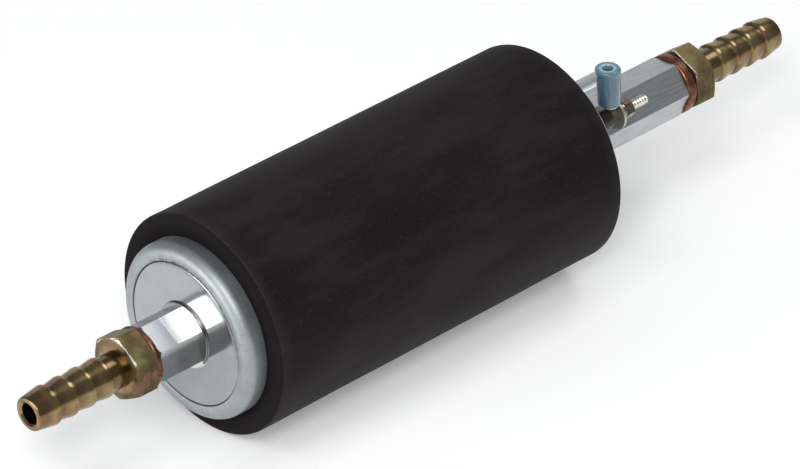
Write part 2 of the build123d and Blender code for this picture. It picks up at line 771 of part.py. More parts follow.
def thrust_washers():
    """Washer at each end of the armature, turning with it."""
    hole = shaft_diameter + 2 * seat_fit
    starts = (shoulder_start - thrust_washer_thickness, commutator_end)
    return [pipe(x, x + thrust_washer_thickness, thrust_washer_diameter, hole) for x in starts]


def slot_space(liner):
    """Winding space of all slots, kept off the core by a liner."""
    outside = core_diameter / 2 - tooth_tip - liner
    space = Circle(outside) - Circle(slot_root_diameter / 2 + liner)
    for index in range(slot_count):
        tooth = Pos(outside / 2, 0) * Rectangle(outside + 2 * overrun, tooth_width + 2 * liner)
        space -= Rot(0, 0, 360 / slot_count * index) * tooth
    return space


def armature_core():
    """Slotted core pack pressed on the shaft."""
    section = Circle(core_diameter / 2) - Circle(shaft_diameter / 2) - slot_space(0)
    reach = tooth_tip + overrun
    for index in range(slot_count):
        mouth = Pos(core_diameter / 2, 0) * Rectangle(2 * reach, slot_opening)
        section -= Rot(0, 0, 360 / slot_count * (index + 0.5)) * mouth
    return extrude(station(core_start) * section, core_length)


def end_turns(start):
    """Rounded ring of wire at one end of the core."""
    end = start + winding_overhang
    ring = rod(start, end, winding_outer_diameter)
    ring = fillet(edges_at(ring, start) + edges_at(ring, end), winding_round)
    return ring - rod(start, end, winding_inner_diameter)


def armature_windings():
    """Wire bundles in the slots joined by the end turns."""
    plane = station(core_start - winding_round)
    bundles = extrude(plane * slot_space(slot_liner), core_length + 2 * winding_round)
    solid = bundles + end_turns(winding_start) + end_turns(core_end)
    return solid - rod(winding_start, winding_end, winding_inner_diameter)


def commutator_hub():
    """Moulded hub that carries the bars."""
    return pipe(riser_start, commutator_end, commutator_hub_diameter, shaft_diameter + 2 * seat_fit)


def commutator_segments():
    """Copper bars with risers, parted by gaps."""
    inner = commutator_hub_diameter / 2
    bars = Circle(commutator_diameter / 2) - Circle(inner)
    risers = Circle(riser_diameter / 2) - Circle(inner)
    for index in range(slot_count):
        cut = Pos(riser_diameter / 2, 0) * Rectangle(riser_diameter, segment_gap)
        gap = Rot(0, 0, 360 / slot_count * index) * cut
        bars -= gap
        risers -= gap
    bars = extrude(station(riser_start) * bars, commutator_length)
    return bars + extrude(station(riser_start) * risers, riser_length)


def field_ring():
    """Steel tube that carries the magnets and spaces the pump from the brush carrier."""
    return pipe(outlet_plate_end, carrier_start, 2 * inner_fit_radius, 2 * field_inner_radius)


def magnets():
    """Two curved magnets against the field ring."""
    inner = core_diameter / 2 + magnet_gap
    outer = field_inner_radius - seat_fit
    sections = [sector(inner, outer, turn, magnet_sweep) for turn in (90, 270)]
    return [extrude(station(magnet_start) * section, magnet_length) for section in sections]


def magnet_clips():
    """Two channel-shaped springs that spread the magnets apart."""
    inner = core_diameter / 2 + magnet_gap + clip_thickness
    outer = field_inner_radius - seat_fit
    sweep = 180 - magnet_sweep - clip_play
    leg = 360 * clip_thickness / (pi * (inner + outer))
    clips = []
    for turn in (0, 180):
        hollow = sector(inner / 2, outer - clip_thickness, turn, sweep - 2 * leg)
        channel = sector(inner, outer, turn, sweep) - hollow
        clips.append(extrude(station(magnet_start) * channel, magnet_length))
    return clips


# Brush gear

def brush_space(start_radius, end_radius, wall, turn):
    """Rectangular block along a brush's line, larger than the brush by a wall."""
    block = Pos(brush_middle, 0, start_radius) * Box(
        brush_length + 2 * wall, brush_width + 2 * wall, end_radius - start_radius,
        align=(Align.CENTER, Align.CENTER, Align.MIN))
    return Rot(-turn, 0, 0) * block


def brush_carrier():
    """Moulded cup that holds the rear bearing and both brush boxes."""
    carrier = pipe(carrier_start, cover_back, 2 * inner_fit_radius, 2 * brush_spring_end)
    carrier += pipe(carrier_floor_start, carrier_end, 2 * inner_fit_radius, bearing_diameter)
    carrier += pipe(rear_bearing_start, carrier_end, carrier_hub_diameter, bearing_diameter)
    block_height = brush_spring_end + overrun - brush_box_start
    block = Pos(carrier_start, 0, brush_box_start) * Box(
        carrier_end - carrier_start, brush_width + 2 * carrier_block_wall, block_height,
        align=(Align.MIN, Align.CENTER, Align.MIN))
    carrier += block + Rot(180, 0, 0) * block
    carrier -= rod(rear_bearing_start, carrier_end, bearing_diameter)
    seal_room = stud_seal_diameter + 2 * carrier_seal_gap
    carrier -= rod(cover_back - stud_seal_thickness, cover_back, seal_room, stud_spot)
    for index in range(carrier_window_count):
        spot = polar(carrier_window_circle, carrier_window_turn + 360 / carrier_window_count * index)
        carrier -= rod(carrier_floor_start, carrier_end, carrier_window_diameter, spot)
    for turn in (0, 180):
        carrier -= brush_space(brush_box_start, brush_spring_end, brush_box_outside + seat_fit, turn)
        carrier -= lead_path(turn, lead_diameter + 2 * lead_slack)
    return carrier


def brush_boxes():
    """Brass guide of each brush."""
    boxes = []
    for turn in (0, 180):
        outside = brush_space(brush_box_start, brush_spring_end, brush_box_outside, turn)
        boxes.append(outside - brush_space(brush_box_start, brush_spring_end, running_fit, turn))
    return boxes


def brush(turn):
    """Carbon brush hollowed to the commutator."""
    block = brush_space(0, brush_end, 0, turn)
    return block - rod(carrier_start, rear_bearing_start, 2 * brush_start)


def brush_spring(turn):
    """Spring behind a brush, as a plain sleeve of its coil's size."""
    coil = Pos(brush_middle, 0, brush_end) * Cylinder(
        brush_spring_diameter / 2, brush_spring_length, align=(Align.CENTER, Align.CENTER, Align.MIN))
    core = Pos(brush_middle, 0, brush_end) * Cylinder(
        brush_spring_diameter / 2 - brush_spring_wire, brush_spring_length,
        align=(Align.CENTER, Align.CENTER, Align.MIN))
    return Rot(-turn, 0, 0) * (coil - core)


def lead_path(turn, diameter):
    """Stiff wire from the outlet cover's side to the flank of a brush box."""
    flank = -(brush_width / 2 + brush_box_outside)
    corner = (brush_middle, stud_side, stud_height)
    rise = (brush_middle, stud_side, stud_height + lead_rise)
    end = (brush_middle, flank, stud_height + lead_rise)
    bend = min(lead_bend, 0.45 * lead_rise)
    route = FilletPolyline((lead_start, stud_side, stud_height), corner, rise, end, radius=bend)
    section = Plane(origin=(lead_start, stud_side, stud_height), z_dir=(-1, 0, 0)) * Circle(diameter / 2)
    return Rot(turn, 0, 0) * sweep(section, path=route)


def positive_lead():
    """Wire from the stud's head to the upper brush box."""
    return lead_path(0, lead_diameter)


def earth_lead():
    """Wire from the outlet cover to the lower brush box."""
    link = rod(lead_start, cover_back, lead_diameter, polar(stud_offset, stud_turn + 180))
    return lead_path(180, lead_diameter) + link


# Check valve and strainer

def valve_seat():
    """Brass seat with a conical mouth."""
    bore = valve_seat_bore / 2
    outside = valve_bore_diameter / 2 - seat_fit
    cone_start = valve_seat_end - valve_seat_cone
    return turned(
        (valve_bore_start, bore), (valve_bore_start, outside), (valve_seat_end, outside),
        (valve_seat_end, bore + valve_seat_cone), (cone_start, bore),
    )


def valve_poppet():
    """Poppet with a conical nose and a guide stem."""
    bore = valve_seat_bore / 2
    nose = valve_seat_end - valve_seat_cone + poppet_gap
    face = valve_seat_end + poppet_gap
    head_end = face + poppet_head_length
    stem_end = valve_cage_start + poppet_stem_reach
    stem = poppet_stem_diameter / 2
    return turned(
        (nose, 0), (nose, bore), (face, bore + valve_seat_cone), (face, poppet_diameter / 2),
        (head_end, poppet_diameter / 2), (head_end, stem), (stem_end, stem), (stem_end, 0),
    )


def valve_spring():
    """Spring on the poppet's stem, as a plain sleeve of its coil's size."""
    start = valve_seat_end + poppet_gap + poppet_head_length
    inside = valve_spring_diameter - 2 * valve_spring_wire
    return pipe(start, valve_cage_start, valve_spring_diameter, inside)


def valve_cage():
    """Spoked guide for the poppet's stem."""
    outside = valve_bore_diameter / 2 - seat_fit
    section = Circle(outside) - Circle(outside - valve_cage_wall)
    section += Circle(valve_cage_hub_diameter / 2)
    spoke_length = outside - valve_cage_wall / 2
    spoke = Pos(spoke_length / 2, 0) * Rectangle(spoke_length, valve_cage_spoke)
    for index in range(valve_cage_spoke_count):
        section += Rot(0, 0, 360 / valve_cage_spoke_count * index) * spoke
    section -= Circle(poppet_stem_diameter / 2 + running_fit)
    return extrude(station(valve_cage_start) * section, valve_cage_length)


def inlet_strainer():
    """Cup with rows of windows in the inlet bore."""
    start = inlet_boss_face + port_depth
    inner = strainer_diameter - 2 * strainer_wall
    cup = rod(start, start + strainer_length, strainer_diameter)
    cup += rod(start, start + strainer_collar, inlet_bore_diameter - 2 * seat_fit)
    cup -= rod(start, start + strainer_length - strainer_wall, inner)
    pitch = (strainer_length - strainer_collar - strainer_wall) / strainer_window_rows
    window = Box(strainer_window, strainer_window, strainer_diameter / 2)
    for row in range(strainer_window_rows):
        middle = start + strainer_collar + pitch * (row + 0.5)
        for column in range(strainer_window_columns):
            turn = Rot(360 / strainer_window_columns * column, 0, 0)
            cup -= turn * Pos(middle, 0, strainer_diameter / 2) * window
    return cup


def inlet_seal():
    """O-ring of the inlet cover."""
    return ring_seal(-(cover_back + seal_groove_setback + seal_groove_width / 2), case_inner_radius)


def outlet_seal():
    """O-ring of the outlet cover."""
    return ring_seal(cover_back + seal_groove_setback + seal_groove_width / 2, case_inner_radius)


pieces = {
    "foam_sleeve": foam_sleeve(),
    "case_tube": case_tube(),
    "inlet_cover": inlet_cover(),
    "outlet_cover": outlet_cover(),
    "inlet_seal": inlet_seal(),
    "outlet_seal": outlet_seal(),
    "inlet_washer": crush_washer(inlet_boss_face - inlet_washer_thickness, inlet_washer_thickness),
    "outlet_washer": crush_washer(outlet_boss_face, outlet_washer_thickness),
    "inlet_hose_tail": inlet_hose_tail(),
    "outlet_hose_tail": outlet_hose_tail(),
    "inlet_strainer": inlet_strainer(),
    "terminal_stud": terminal_stud(),
    "stud_seal": stud_seal(),
    "terminal_insulator": terminal_insulator(),
    "terminal_base_nut": stud_nut(insulator_top),
    "ring_terminal": ring_terminal(),
    "terminal_sleeve": terminal_sleeve(),
    "terminal_spring_washer": spring_washer(),
    "terminal_nut": stud_nut(terminal_nut_start),
    "earth_screw": earth_screw(),
    "earth_washer": earth_washer(),
    "pump_inlet_plate": pump_inlet_plate(),
    "pump_ring": pump_ring(),
    "pump_outlet_plate": pump_outlet_plate(),
    "pump_screws": pump_screws(),
    "inner_rotor": inner_rotor(),
    "outer_rotor": outer_rotor(),
    "relief_ball": relief_ball(),
    "relief_spring": relief_spring(),
    "front_bearing": front_bearing(),
    "rear_bearing": rear_bearing(),
    "armature_shaft": armature_shaft(),
    "thrust_washers": thrust_washers(),
    "armature_core": armature_core(),
    "armature_windings": armature_windings(),
    "commutator_hub": commutator_hub(),
    "commutator_segments": commutator_segments(),
    "field_ring": field_ring(),
    "magnets": magnets(),
    "magnet_clips": magnet_clips(),
    "brush_carrier": brush_carrier(),
    "brush_boxes": brush_boxes(),
    "upper_brush": brush(0),
    "lower_brush": brush(180),
    "upper_brush_spring": brush_spring(0),
    "lower_brush_spring": brush_spring(180),
    "positive_lead": positive_lead(),
    "earth_lead": earth_lead(),
    "valve_seat": valve_seat(),
    "valve_poppet": valve_poppet(),
    "valve_spring": valve_spring(),
    "valve_cage": valve_cage(),
}

os.makedirs("parts", exist_ok=True)
for name, shape in pieces.items():
    shapes = shape if isinstance(shape, list) else [shape]
    solids = [solid for item in shapes for solid in item.solids()]
    export_step(Compound(children=solids), f"parts/{name}.step")
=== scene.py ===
import json
from math import cos, pi, radians, sin, sqrt

import bmesh
import bpy
import numpy as np
from mathutils import Euler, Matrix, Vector


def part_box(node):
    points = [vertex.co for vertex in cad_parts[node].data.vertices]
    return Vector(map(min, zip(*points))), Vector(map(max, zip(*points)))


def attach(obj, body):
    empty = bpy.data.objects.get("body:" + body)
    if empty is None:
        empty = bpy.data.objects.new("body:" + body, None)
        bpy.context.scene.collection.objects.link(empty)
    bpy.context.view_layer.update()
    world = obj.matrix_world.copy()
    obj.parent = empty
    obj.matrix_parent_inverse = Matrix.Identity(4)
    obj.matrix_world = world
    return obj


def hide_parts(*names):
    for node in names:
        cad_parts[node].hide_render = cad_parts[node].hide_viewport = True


# Inline fuel pump: foam sleeve, rolled aluminium case, hexagon bosses, yellow-plated hose tails and
# the positive terminal. The axis is X with the outlet at +X. Sizes are in millimetres and angles in
# degrees. An angle about the axis starts at the top (+Z) and runs towards -Y.
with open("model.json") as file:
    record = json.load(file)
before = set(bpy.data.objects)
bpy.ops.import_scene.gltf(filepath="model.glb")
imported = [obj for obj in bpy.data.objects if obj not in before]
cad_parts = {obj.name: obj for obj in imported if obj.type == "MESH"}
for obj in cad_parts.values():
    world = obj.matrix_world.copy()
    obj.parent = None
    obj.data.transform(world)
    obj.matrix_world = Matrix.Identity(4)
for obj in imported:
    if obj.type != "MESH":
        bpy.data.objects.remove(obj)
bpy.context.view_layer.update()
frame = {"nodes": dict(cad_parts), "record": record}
MM = 0.001


def span(node):
    """Lowest and highest corner of a node, in millimetres."""
    low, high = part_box(node)
    return np.array(low) / MM, np.array(high) / MM


# Places and sizes read from the frame, and how far a piece departs from its solid
case_proud = 0.3             # the curled ends stand out by this
outlet_setback = 1.3         # the outlet boss and its bore end sooner by this
stud_setback = 0.6           # the stud ends sooner by this
pillar_proud = 3.9           # the earth pillar is higher by this
sleeve_end, sleeve_radius = span("foam_sleeve")[1][[0, 2]]
case_end, case_radius = span("case_tube")[1][[0, 2]]
case_end += case_proud
inlet_face = span("inlet_washer")[1][0]
inlet_seat = span("inlet_washer")[0][0]
inlet_spigot_end = span("inlet_hose_tail")[1][0]
outlet_face = span("outlet_washer")[0][0] - outlet_setback
outlet_seat = span("outlet_washer")[1][0] - outlet_setback
outlet_spigot_end = span("outlet_hose_tail")[0][0]
cover_back = span("outlet_cover")[0][0]
valve_start = span("valve_seat")[0][0] - outlet_setback
stud_start = span("terminal_stud")[0][0]
stud_tip = span("terminal_stud")[1][0] - stud_setback
blue_foot = span("terminal_sleeve")[0][2]
washer_low, washer_high = span("earth_washer")

# Case and covers
case_wall = 1.5
roll_radius = 2.6
roll_end = 4                 # where the curl meets the lip, an angle short of the face
lip_radius = 17.6
lip_round = 0.2
land_gap = 0.03
land_setback = 0.1
land_round = 0.6
land_face = case_end - land_setback
land_rings = (14.0, 11.0)    # radii of the rows across the land
curl_clearance = 0.03
collar_radius = 8.02
collar_thickness = 0.6
collar_round = 0.25
collar_foot = 0.12
boss_width = 13.2
boss_chamfer = 0.5
boss_foot = 0.3
port_radius = 5.0
port_depth = 10.0
inlet_corner = -2.0          # angle of one corner of the inlet boss
outlet_corner = 22.0
inlet_bore_radius = 4.0
valve_bore_radius = 4.5
throat_radius = 2.8
cover_edge = 0.12

# Earth pillar
pillar_spot = ((washer_low[2] + washer_high[2]) / 2, -(washer_low[1] + washer_high[1]) / 2)
pillar_radius = 5.4
pillar_foot = 0.3
pillar_root = 1.0            # how far it runs into the cover
pillar_edge = 0.6
pillar_top = washer_low[0] + pillar_proud
earth_washer_radius = 3.3
earth_washer_thickness = 0.8
earth_screw_radius = 1.98
earth_screw_length = 9.0
earth_head_radius = 3.1
earth_head_height = 2.0
earth_head_round = 0.6
earth_head_ring = 1.6        # radius of a row across the head
earth_slot = 1.0             # the slot's width and its depth

# Washer and hose tails
washer_radius = 7.5
washer_round = 0.8
tail_width = 14.4
tail_hex_length = 6.0
tail_chamfer = 1.1
outlet_tail_corner = -8.0
spigot_radius = 4.98
tail_bore = 2.55
neck_radius = 4.3
crest_radius = 4.85
crest_ease = 0.04            # how much lower the crest starts
crest_step = 0.15            # length in which it reaches its height
crest_fall = 0.03            # how much lower it ends
valley_radius = 4.275
inlet_barb_first = 5.2
outlet_barb_first = 6.5
barb_pitch = 5.05
barb_count = 4
barb_land = 0.9
barb_back = 0.45
tail_nose = 5.15
tip_radius = 4.15
tip_round = 0.5
mouth_chamfer = 0.4

# Terminal stud, bush and nuts
stud_offset = 10.2
stud_turn = 49.5
stud_spot = (stud_offset * cos(radians(stud_turn)), stud_offset * sin(radians(stud_turn)))
stud_radius = 1.25
stud_head_radius = 3.0
stud_head_thickness = 1.6
stud_taper_length = 0.5
stud_taper = 0.4
thread_pitch = 0.85
thread_depth = 0.28
thread_lead = 1.0            # how far under the base nut the thread starts
thread_first_row = 0.05
thread_rows = 9              # rows in one pitch
thread_steepness = 1.35
thread_root = 0.12
bush_radius = 2.7
bush_neck_radius = 2.3
bush_end = land_face + 8.8
bush_round = 0.3
nut_width = 4.3
nut_thickness = 2.2
nut_chamfer = 0.3
nut_countersink = 0.3
nut_corner = 30.0
spring_washer_thickness = 2.1
spring_washer_radius = 2.1
spring_washer_gap = 28.0     # angle left open
spring_washer_turn = 200.0   # angle of the opening
spring_washer_steps = 60
spring_washer_play = 0.04    # to the ring and the nut
spring_washer_clearance = 0.05   # to the stud

# Ring terminal and its insulating sleeve
ring_radius = 3.8
ring_play = 0.04
tongue_width = 3.4
tongue_thickness = 0.7
tongue_bend = 0.9
tongue_end = 0.5             # how far before the barrel's axis the tongue ends
ring_back = bush_end + nut_thickness
ring_front = ring_back + tongue_thickness
outer_nut_start = ring_front + spring_washer_thickness
barrel_radius = 1.95
barrel_bore = 1.0
barrel_length = 6.4
barrel_foot = blue_foot - 0.1
barrel_top = barrel_foot + barrel_length
barrel_edge = 0.15
barrel_mouth = 0.1
barrel_seam = 0.2            # depth of the rolled seam
barrel_seam_width = 6.0      # angle
barrel_drain = 0.8           # radius of the hole in the barrel's foot
barrel_spot = (66.45, -8.7)
barrel_lean = (-0.049, 0.047)   # sideways for each millimetre of height
blue_length = 9.6
barrel_middle = blue_foot + blue_length / 2
blue_radius = 2.85
blue_foot_edge = 0.2
blue_ease = 0.02             # small steps of radius and height beside its arcs
blue_flare = 0.03
blue_flare_length = 0.25
blue_step = 0.3
flange_radius = 3.08
flange_height = 1.5
flange_round = 0.55
blue_mouth_radius = 1.35
blue_mouth_depth = 0.8
blue_mouth_edge = 0.12
blue_mouth_lead = 0.15
blue_shoulder_gap = 0.1

# Foam
foam_edge = 0.8
foam_inset = 0.03
foam_rows = 25
foam_plain = 4.0             # length at each end without swells
foam_swells = ((0.04, 3, 9.0), (0.03, 5, -6.0))   # height, count round the sleeve, length

# Grids
columns = 96
fine_columns = 192
nut_columns = 72
bush_columns = 64
screw_columns = 48
slot_columns = (7, 19)       # over half the slot and beside it
bevel_angle = 32             # edges sharper than this are rounded
bevel_segments = 2
clearance = 0.02             # between a hole and what runs through it
sliver = 0.01                # keeps rows off the axis and off each other


# Surfaces

def angles(count, start=0.0):
    """Angles about the axis, one for each column."""
    return start + 360 / count * np.arange(count)


def hexagon(angle, width, corner):
    """Radius of a hexagon: half its width over the cosine of the angle to the nearest side's
    middle."""
    to_side = (angle - corner) % 60 - 30
    return width / 2 / np.cos(np.radians(to_side))


def arc_rows(centre, radius, start, end, steps):
    """Rows on an arc: x is the centre plus radius * cos, and r the centre plus radius * sin."""
    sweep = np.radians(np.linspace(start, end, steps))
    return [(centre[0] + radius * cos(a), centre[1] + radius * sin(a)) for a in sweep]


def turned(x, radius, angle, spot):
    """Points round an axis along X: height is the spot's plus radius * cos(angle), and depth
    towards -Y the spot's plus radius * sin(angle)."""
    turn = np.radians(angle)
    depth = spot[1] + radius * np.sin(turn)
    return np.stack([x, -depth, spot[0] + radius * np.cos(turn)], axis=-1)


def spread(rows, angle):
    """The two values of all rows as grids. Each is one number for the row or one for each angle."""
    return [np.stack([np.broadcast_to(row[part], angle.shape) for row in rows]) for part in (0, 1)]


def grid_faces(rows, across, wrap_rows):
    """Quads between neighbouring rows and columns of a grid that is closed round its columns."""
    row = np.arange(rows if wrap_rows else rows - 1)
    row, column = (side.ravel() for side in np.meshgrid(row, np.arange(across), indexing="ij"))
    below, beside = (row + 1) % rows, (column + 1) % across
    corners = [(row, column), (row, beside), (below, beside), (below, column)]
    return np.stack([r * across + c for r, c in corners], axis=-1)


def ring_patch(rows, angle, spot=(0.0, 0.0)):
    """Closed solid of turned or hexagonal section with a hole through it: a row is an x and a
    radius."""
    x, radius = spread(rows, angle)
    points = turned(x, radius, angle, spot)
    return points.reshape(-1, 3), grid_faces(len(rows), len(angle), True)


def tube_patch(sections):
    """Closed solid swept through sections, each an array of points round it, with flat ends."""
    count, across = sections.shape[:2]
    faces = [tuple(face) for face in grid_faces(count, across, False)]
    faces.append(tuple(range(across)))
    faces.append(tuple((count - 1) * across + np.arange(across)))
    return sections.reshape(-1, 3), faces


def mirrored(patch):
    """Patch for the inlet side: x changes its sign."""
    points, faces = patch
    return points * np.array([-1.0, 1.0, 1.0]), faces


def piece(name, patches, slot, replaces, edge=0.0, finish=None):
    """One object from closed patches: doubles merged, faces turned outwards, edges rounded."""
    mesh = bpy.data.meshes.new(name)
    shape = bmesh.new()
    for points, faces in patches:
        corners = [shape.verts.new(point) for point in points * MM]
        for face in faces:
            shape.faces.new([corners[index] for index in face])
    bmesh.ops.remove_doubles(shape, verts=shape.verts, dist=1e-7)
    bmesh.ops.recalc_face_normals(shape, faces=shape.faces)
    for face in shape.faces:
        face.smooth = True
    shape.to_mesh(mesh)
    shape.free()
    body = bpy.data.objects.new(name, mesh)
    bpy.context.scene.collection.objects.link(body)
    mesh.materials.append(finish or finishes[slot])
    if edge:
        bevel = body.modifiers.new("edges", "BEVEL")
        bevel.width = edge * MM
        bevel.segments = bevel_segments
        bevel.limit_method = "ANGLE"
        bevel.angle_limit = radians(bevel_angle)
        bevel.harden_normals = True
    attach(body, "root")
    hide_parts(*replaces)
    return body


# Finishes

class Signal:
    """A socket of a material. Arithmetic on it adds Math nodes."""

    def __init__(self, finish, socket):
        self.finish = finish
        self.socket = socket

    def math(self, operation, first, second=0.0):
        return self.finish.node("Math", {"operation": operation}, {0: first, 1: second})

    def __add__(self, other):
        return self.math("ADD", self, other)

    __radd__ = __add__

    def __sub__(self, other):
        return self.math("SUBTRACT", self, other)

    def __rsub__(self, other):
        return self.math("SUBTRACT", other, self)

    def __mul__(self, other):
        return self.math("MULTIPLY", self, other)

    __rmul__ = __mul__

    def __truediv__(self, other):
        return self.math("DIVIDE", self, other)

    def __pow__(self, other):
        return self.math("POWER", self, other)

    def __abs__(self):
        return self.math("ABSOLUTE", self)

    def sine(self):
        return self.math("SINE", self)


class Finish:
    """One material, built up from nodes."""

    def __init__(self, name):
        self.material = bpy.data.materials.new(name)
        self.material.use_nodes = True
        self.tree = self.material.node_tree
        self.shader = self.tree.nodes["Principled BSDF"]

    def node(self, kind, settings=None, values=None, output=0):
        """Adds a node: its settings first, then the values or links of its sockets."""
        added = self.tree.nodes.new("ShaderNode" + kind)
        for key, value in (settings or {}).items():
            if key == "stops":
                self.set_stops(added.color_ramp, value)
            else:
                setattr(added, key, value)
        for key, value in (values or {}).items():
            self.join(added.inputs[key], value)
        return Signal(self, added.outputs[output])

    def set_stops(self, ramp, stops):
        """Gives a colour ramp its stops, each a place and a colour."""
        while len(ramp.elements) < len(stops):
            ramp.elements.new(1.0)
        for element, (place, colour) in zip(ramp.elements, stops):
            element.position = place
            element.color = (*colour, 1.0)

    def join(self, socket, value):
        """Links a signal to a socket, or sets the socket's own value."""
        if isinstance(value, Signal):
            self.tree.links.new(value.socket, socket)
        elif isinstance(value, tuple) and len(value) == 3 and socket.type == "RGBA":
            socket.default_value = (*value, 1.0)
        else:
            socket.default_value = value

    def place(self):
        """Object coordinates, in metres."""
        return self.node("TexCoord", output="Object")

    def axes(self):
        """The three object coordinates by themselves, in millimetres."""
        parts = self.node("SeparateXYZ", {}, {0: self.place()}).socket.node.outputs
        return [Signal(self, parts[axis]) * (1 / MM) for axis in "XYZ"]

    def reach(self, first, second):
        """Distance from the axis that two coordinates are square to."""
        return (first * first + second * second) ** 0.5

    def noise(self, size, detail=2.0, roughness=0.5, stretch=(1.0, 1.0, 1.0)):
        """Noise whose lumps are about a size across, in millimetres, stretched along the axes."""
        scale = tuple(1 / (size * MM * factor) for factor in stretch)
        spaced = self.node("Mapping", {}, {"Vector": self.place(), "Scale": scale})
        values = {"Vector": spaced, "Scale": 1.0, "Detail": detail, "Roughness": roughness}
        return self.node("TexNoise", {}, values)

    def cells(self, size):
        """Distance to the nearest point of scattered cells about a size across, in millimetres."""
        values = {"Vector": self.place(), "Scale": 1 / (size * MM)}
        return self.node("TexVoronoi", {"feature": "F1"}, values)

    def ramp(self, signal, *stops):
        """Passes a signal through a ramp of stops."""
        return self.node("ValToRGB", {"stops": stops}, {"Fac": signal})

    def band(self, signal, low, high):
        """0 below low, 1 above high and a smooth step between."""
        settings = {"interpolation_type": "SMOOTHSTEP"}
        return self.node("MapRange", settings, {"Value": signal, "From Min": low, "From Max": high})

    def mix(self, share, first, second):
        """Mixes two colours. Their sockets stand after those for numbers and vectors."""
        return self.node("Mix", {"data_type": "RGBA"}, {0: share, 6: first, 7: second}, 2)

    def clamp(self, signal):
        """Keeps a signal between 0 and 1."""
        return self.node("Clamp", {}, {"Value": signal})

    def surface(self, colour, roughness, metallic=0.0, height=None, depth=0.05, **others):
        """Sets the shader: depth is how high the bump's height of 1 stands, in millimetres."""
        self.join(self.shader.inputs["Base Color"], colour)
        self.join(self.shader.inputs["Roughness"], roughness)
        self.join(self.shader.inputs["Metallic"], metallic)
        for name, value in others.items():
            self.join(self.shader.inputs[name.replace("_", " ")], value)
        if height is not None:
            values = {"Height": height, "Distance": depth * MM, "Strength": 1.0}
            self.join(self.shader.inputs["Normal"], self.node("Bump", {}, values))
        return self.material


def upper_side(f, y, z, radius):
    """Share of the way to the top of an end, a little towards -Y, where painted shade lies."""
    return f.band((z - 0.5 * y) / radius, 0.25, 0.85)


def foam():
    """Fine-celled black foam: dull skin, tiny cells and soft lighter bands, darker at its cuts."""
    f = Finish("foam")
    along = abs(f.axes()[0])
    cut = f.band(along, sleeve_end - 0.35, sleeve_end - 0.1)
    edge = f.band(along, sleeve_end - 3.5, sleeve_end - 0.8) * (1 - cut)
    cells = f.cells(0.42)
    grain = f.noise(0.25, 3.0, 0.6)
    speck = f.band(f.noise(0.55, 2.0, 0.6), 0.56, 0.70)
    broad = f.noise(8.0, 3.0, 0.55, (3.5, 1.0, 1.0))
    bands = f.band(broad, 0.35, 0.7)
    shade = f.mix(bands, (0.0085, 0.0058, 0.0070), (0.0185, 0.0142, 0.0158))
    shade = f.mix(speck * 0.4, shade, (0.036, 0.031, 0.032))
    shade = f.mix(edge * 0.3, shade, (0.030, 0.027, 0.028))
    shade = f.mix(cut * 0.85, shade, (0.0050, 0.0030, 0.0036))
    rough = 0.62 + 0.12 * grain + 0.15 * cut
    height = cells * (0.35 + 0.9 * cut) + grain * 0.45 + broad * 0.3
    return f.surface(shade, rough, 0.0, height, 0.04, Specular_IOR_Level=0.16)


def case_metal():
    """Drawn aluminium: fine matt grain, faint rings from the rolling and painted shade, blotched,
    at the top beside the lip.
    """
    f = Finish("case_metal")
    x, y, z = f.axes()
    radius = f.reach(y, z)
    grain = f.noise(0.35, 3.0, 0.6)
    broad = f.noise(5.0, 3.0, 0.6)
    blots = f.band(f.noise(0.9, 3.0, 0.65), 0.35, 0.6)
    rings = (radius * 9.0 + x * 5.0).sine()
    beyond_lip = f.band(radius, lip_radius + 0.1, lip_radius + 1.1)
    # painted shade: blotched dark at the top of the curl just outside the lip, standing in for a
    # dark reflection
    painted_lip_shade = (1 - beyond_lip) * blots * upper_side(f, y, z, radius)
    streaks = f.band(f.noise(1.2, 3.0, 0.6, (3.0, 1.0, 1.0)), 0.5, 0.75)
    shade = f.mix(broad, (0.30, 0.335, 0.345), (0.44, 0.475, 0.485))
    shade = f.mix(streaks * 0.5, shade, (0.24, 0.27, 0.29))
    shade = f.mix(painted_lip_shade * 0.9, shade, (0.10, 0.095, 0.09))
    rough = 0.46 + 0.10 * grain + 0.06 * broad + 0.2 * painted_lip_shade
    height = grain * 0.6 + rings * 0.08 + broad * 0.5
    return f.surface(shade, rough, 1.0, height, 0.018)


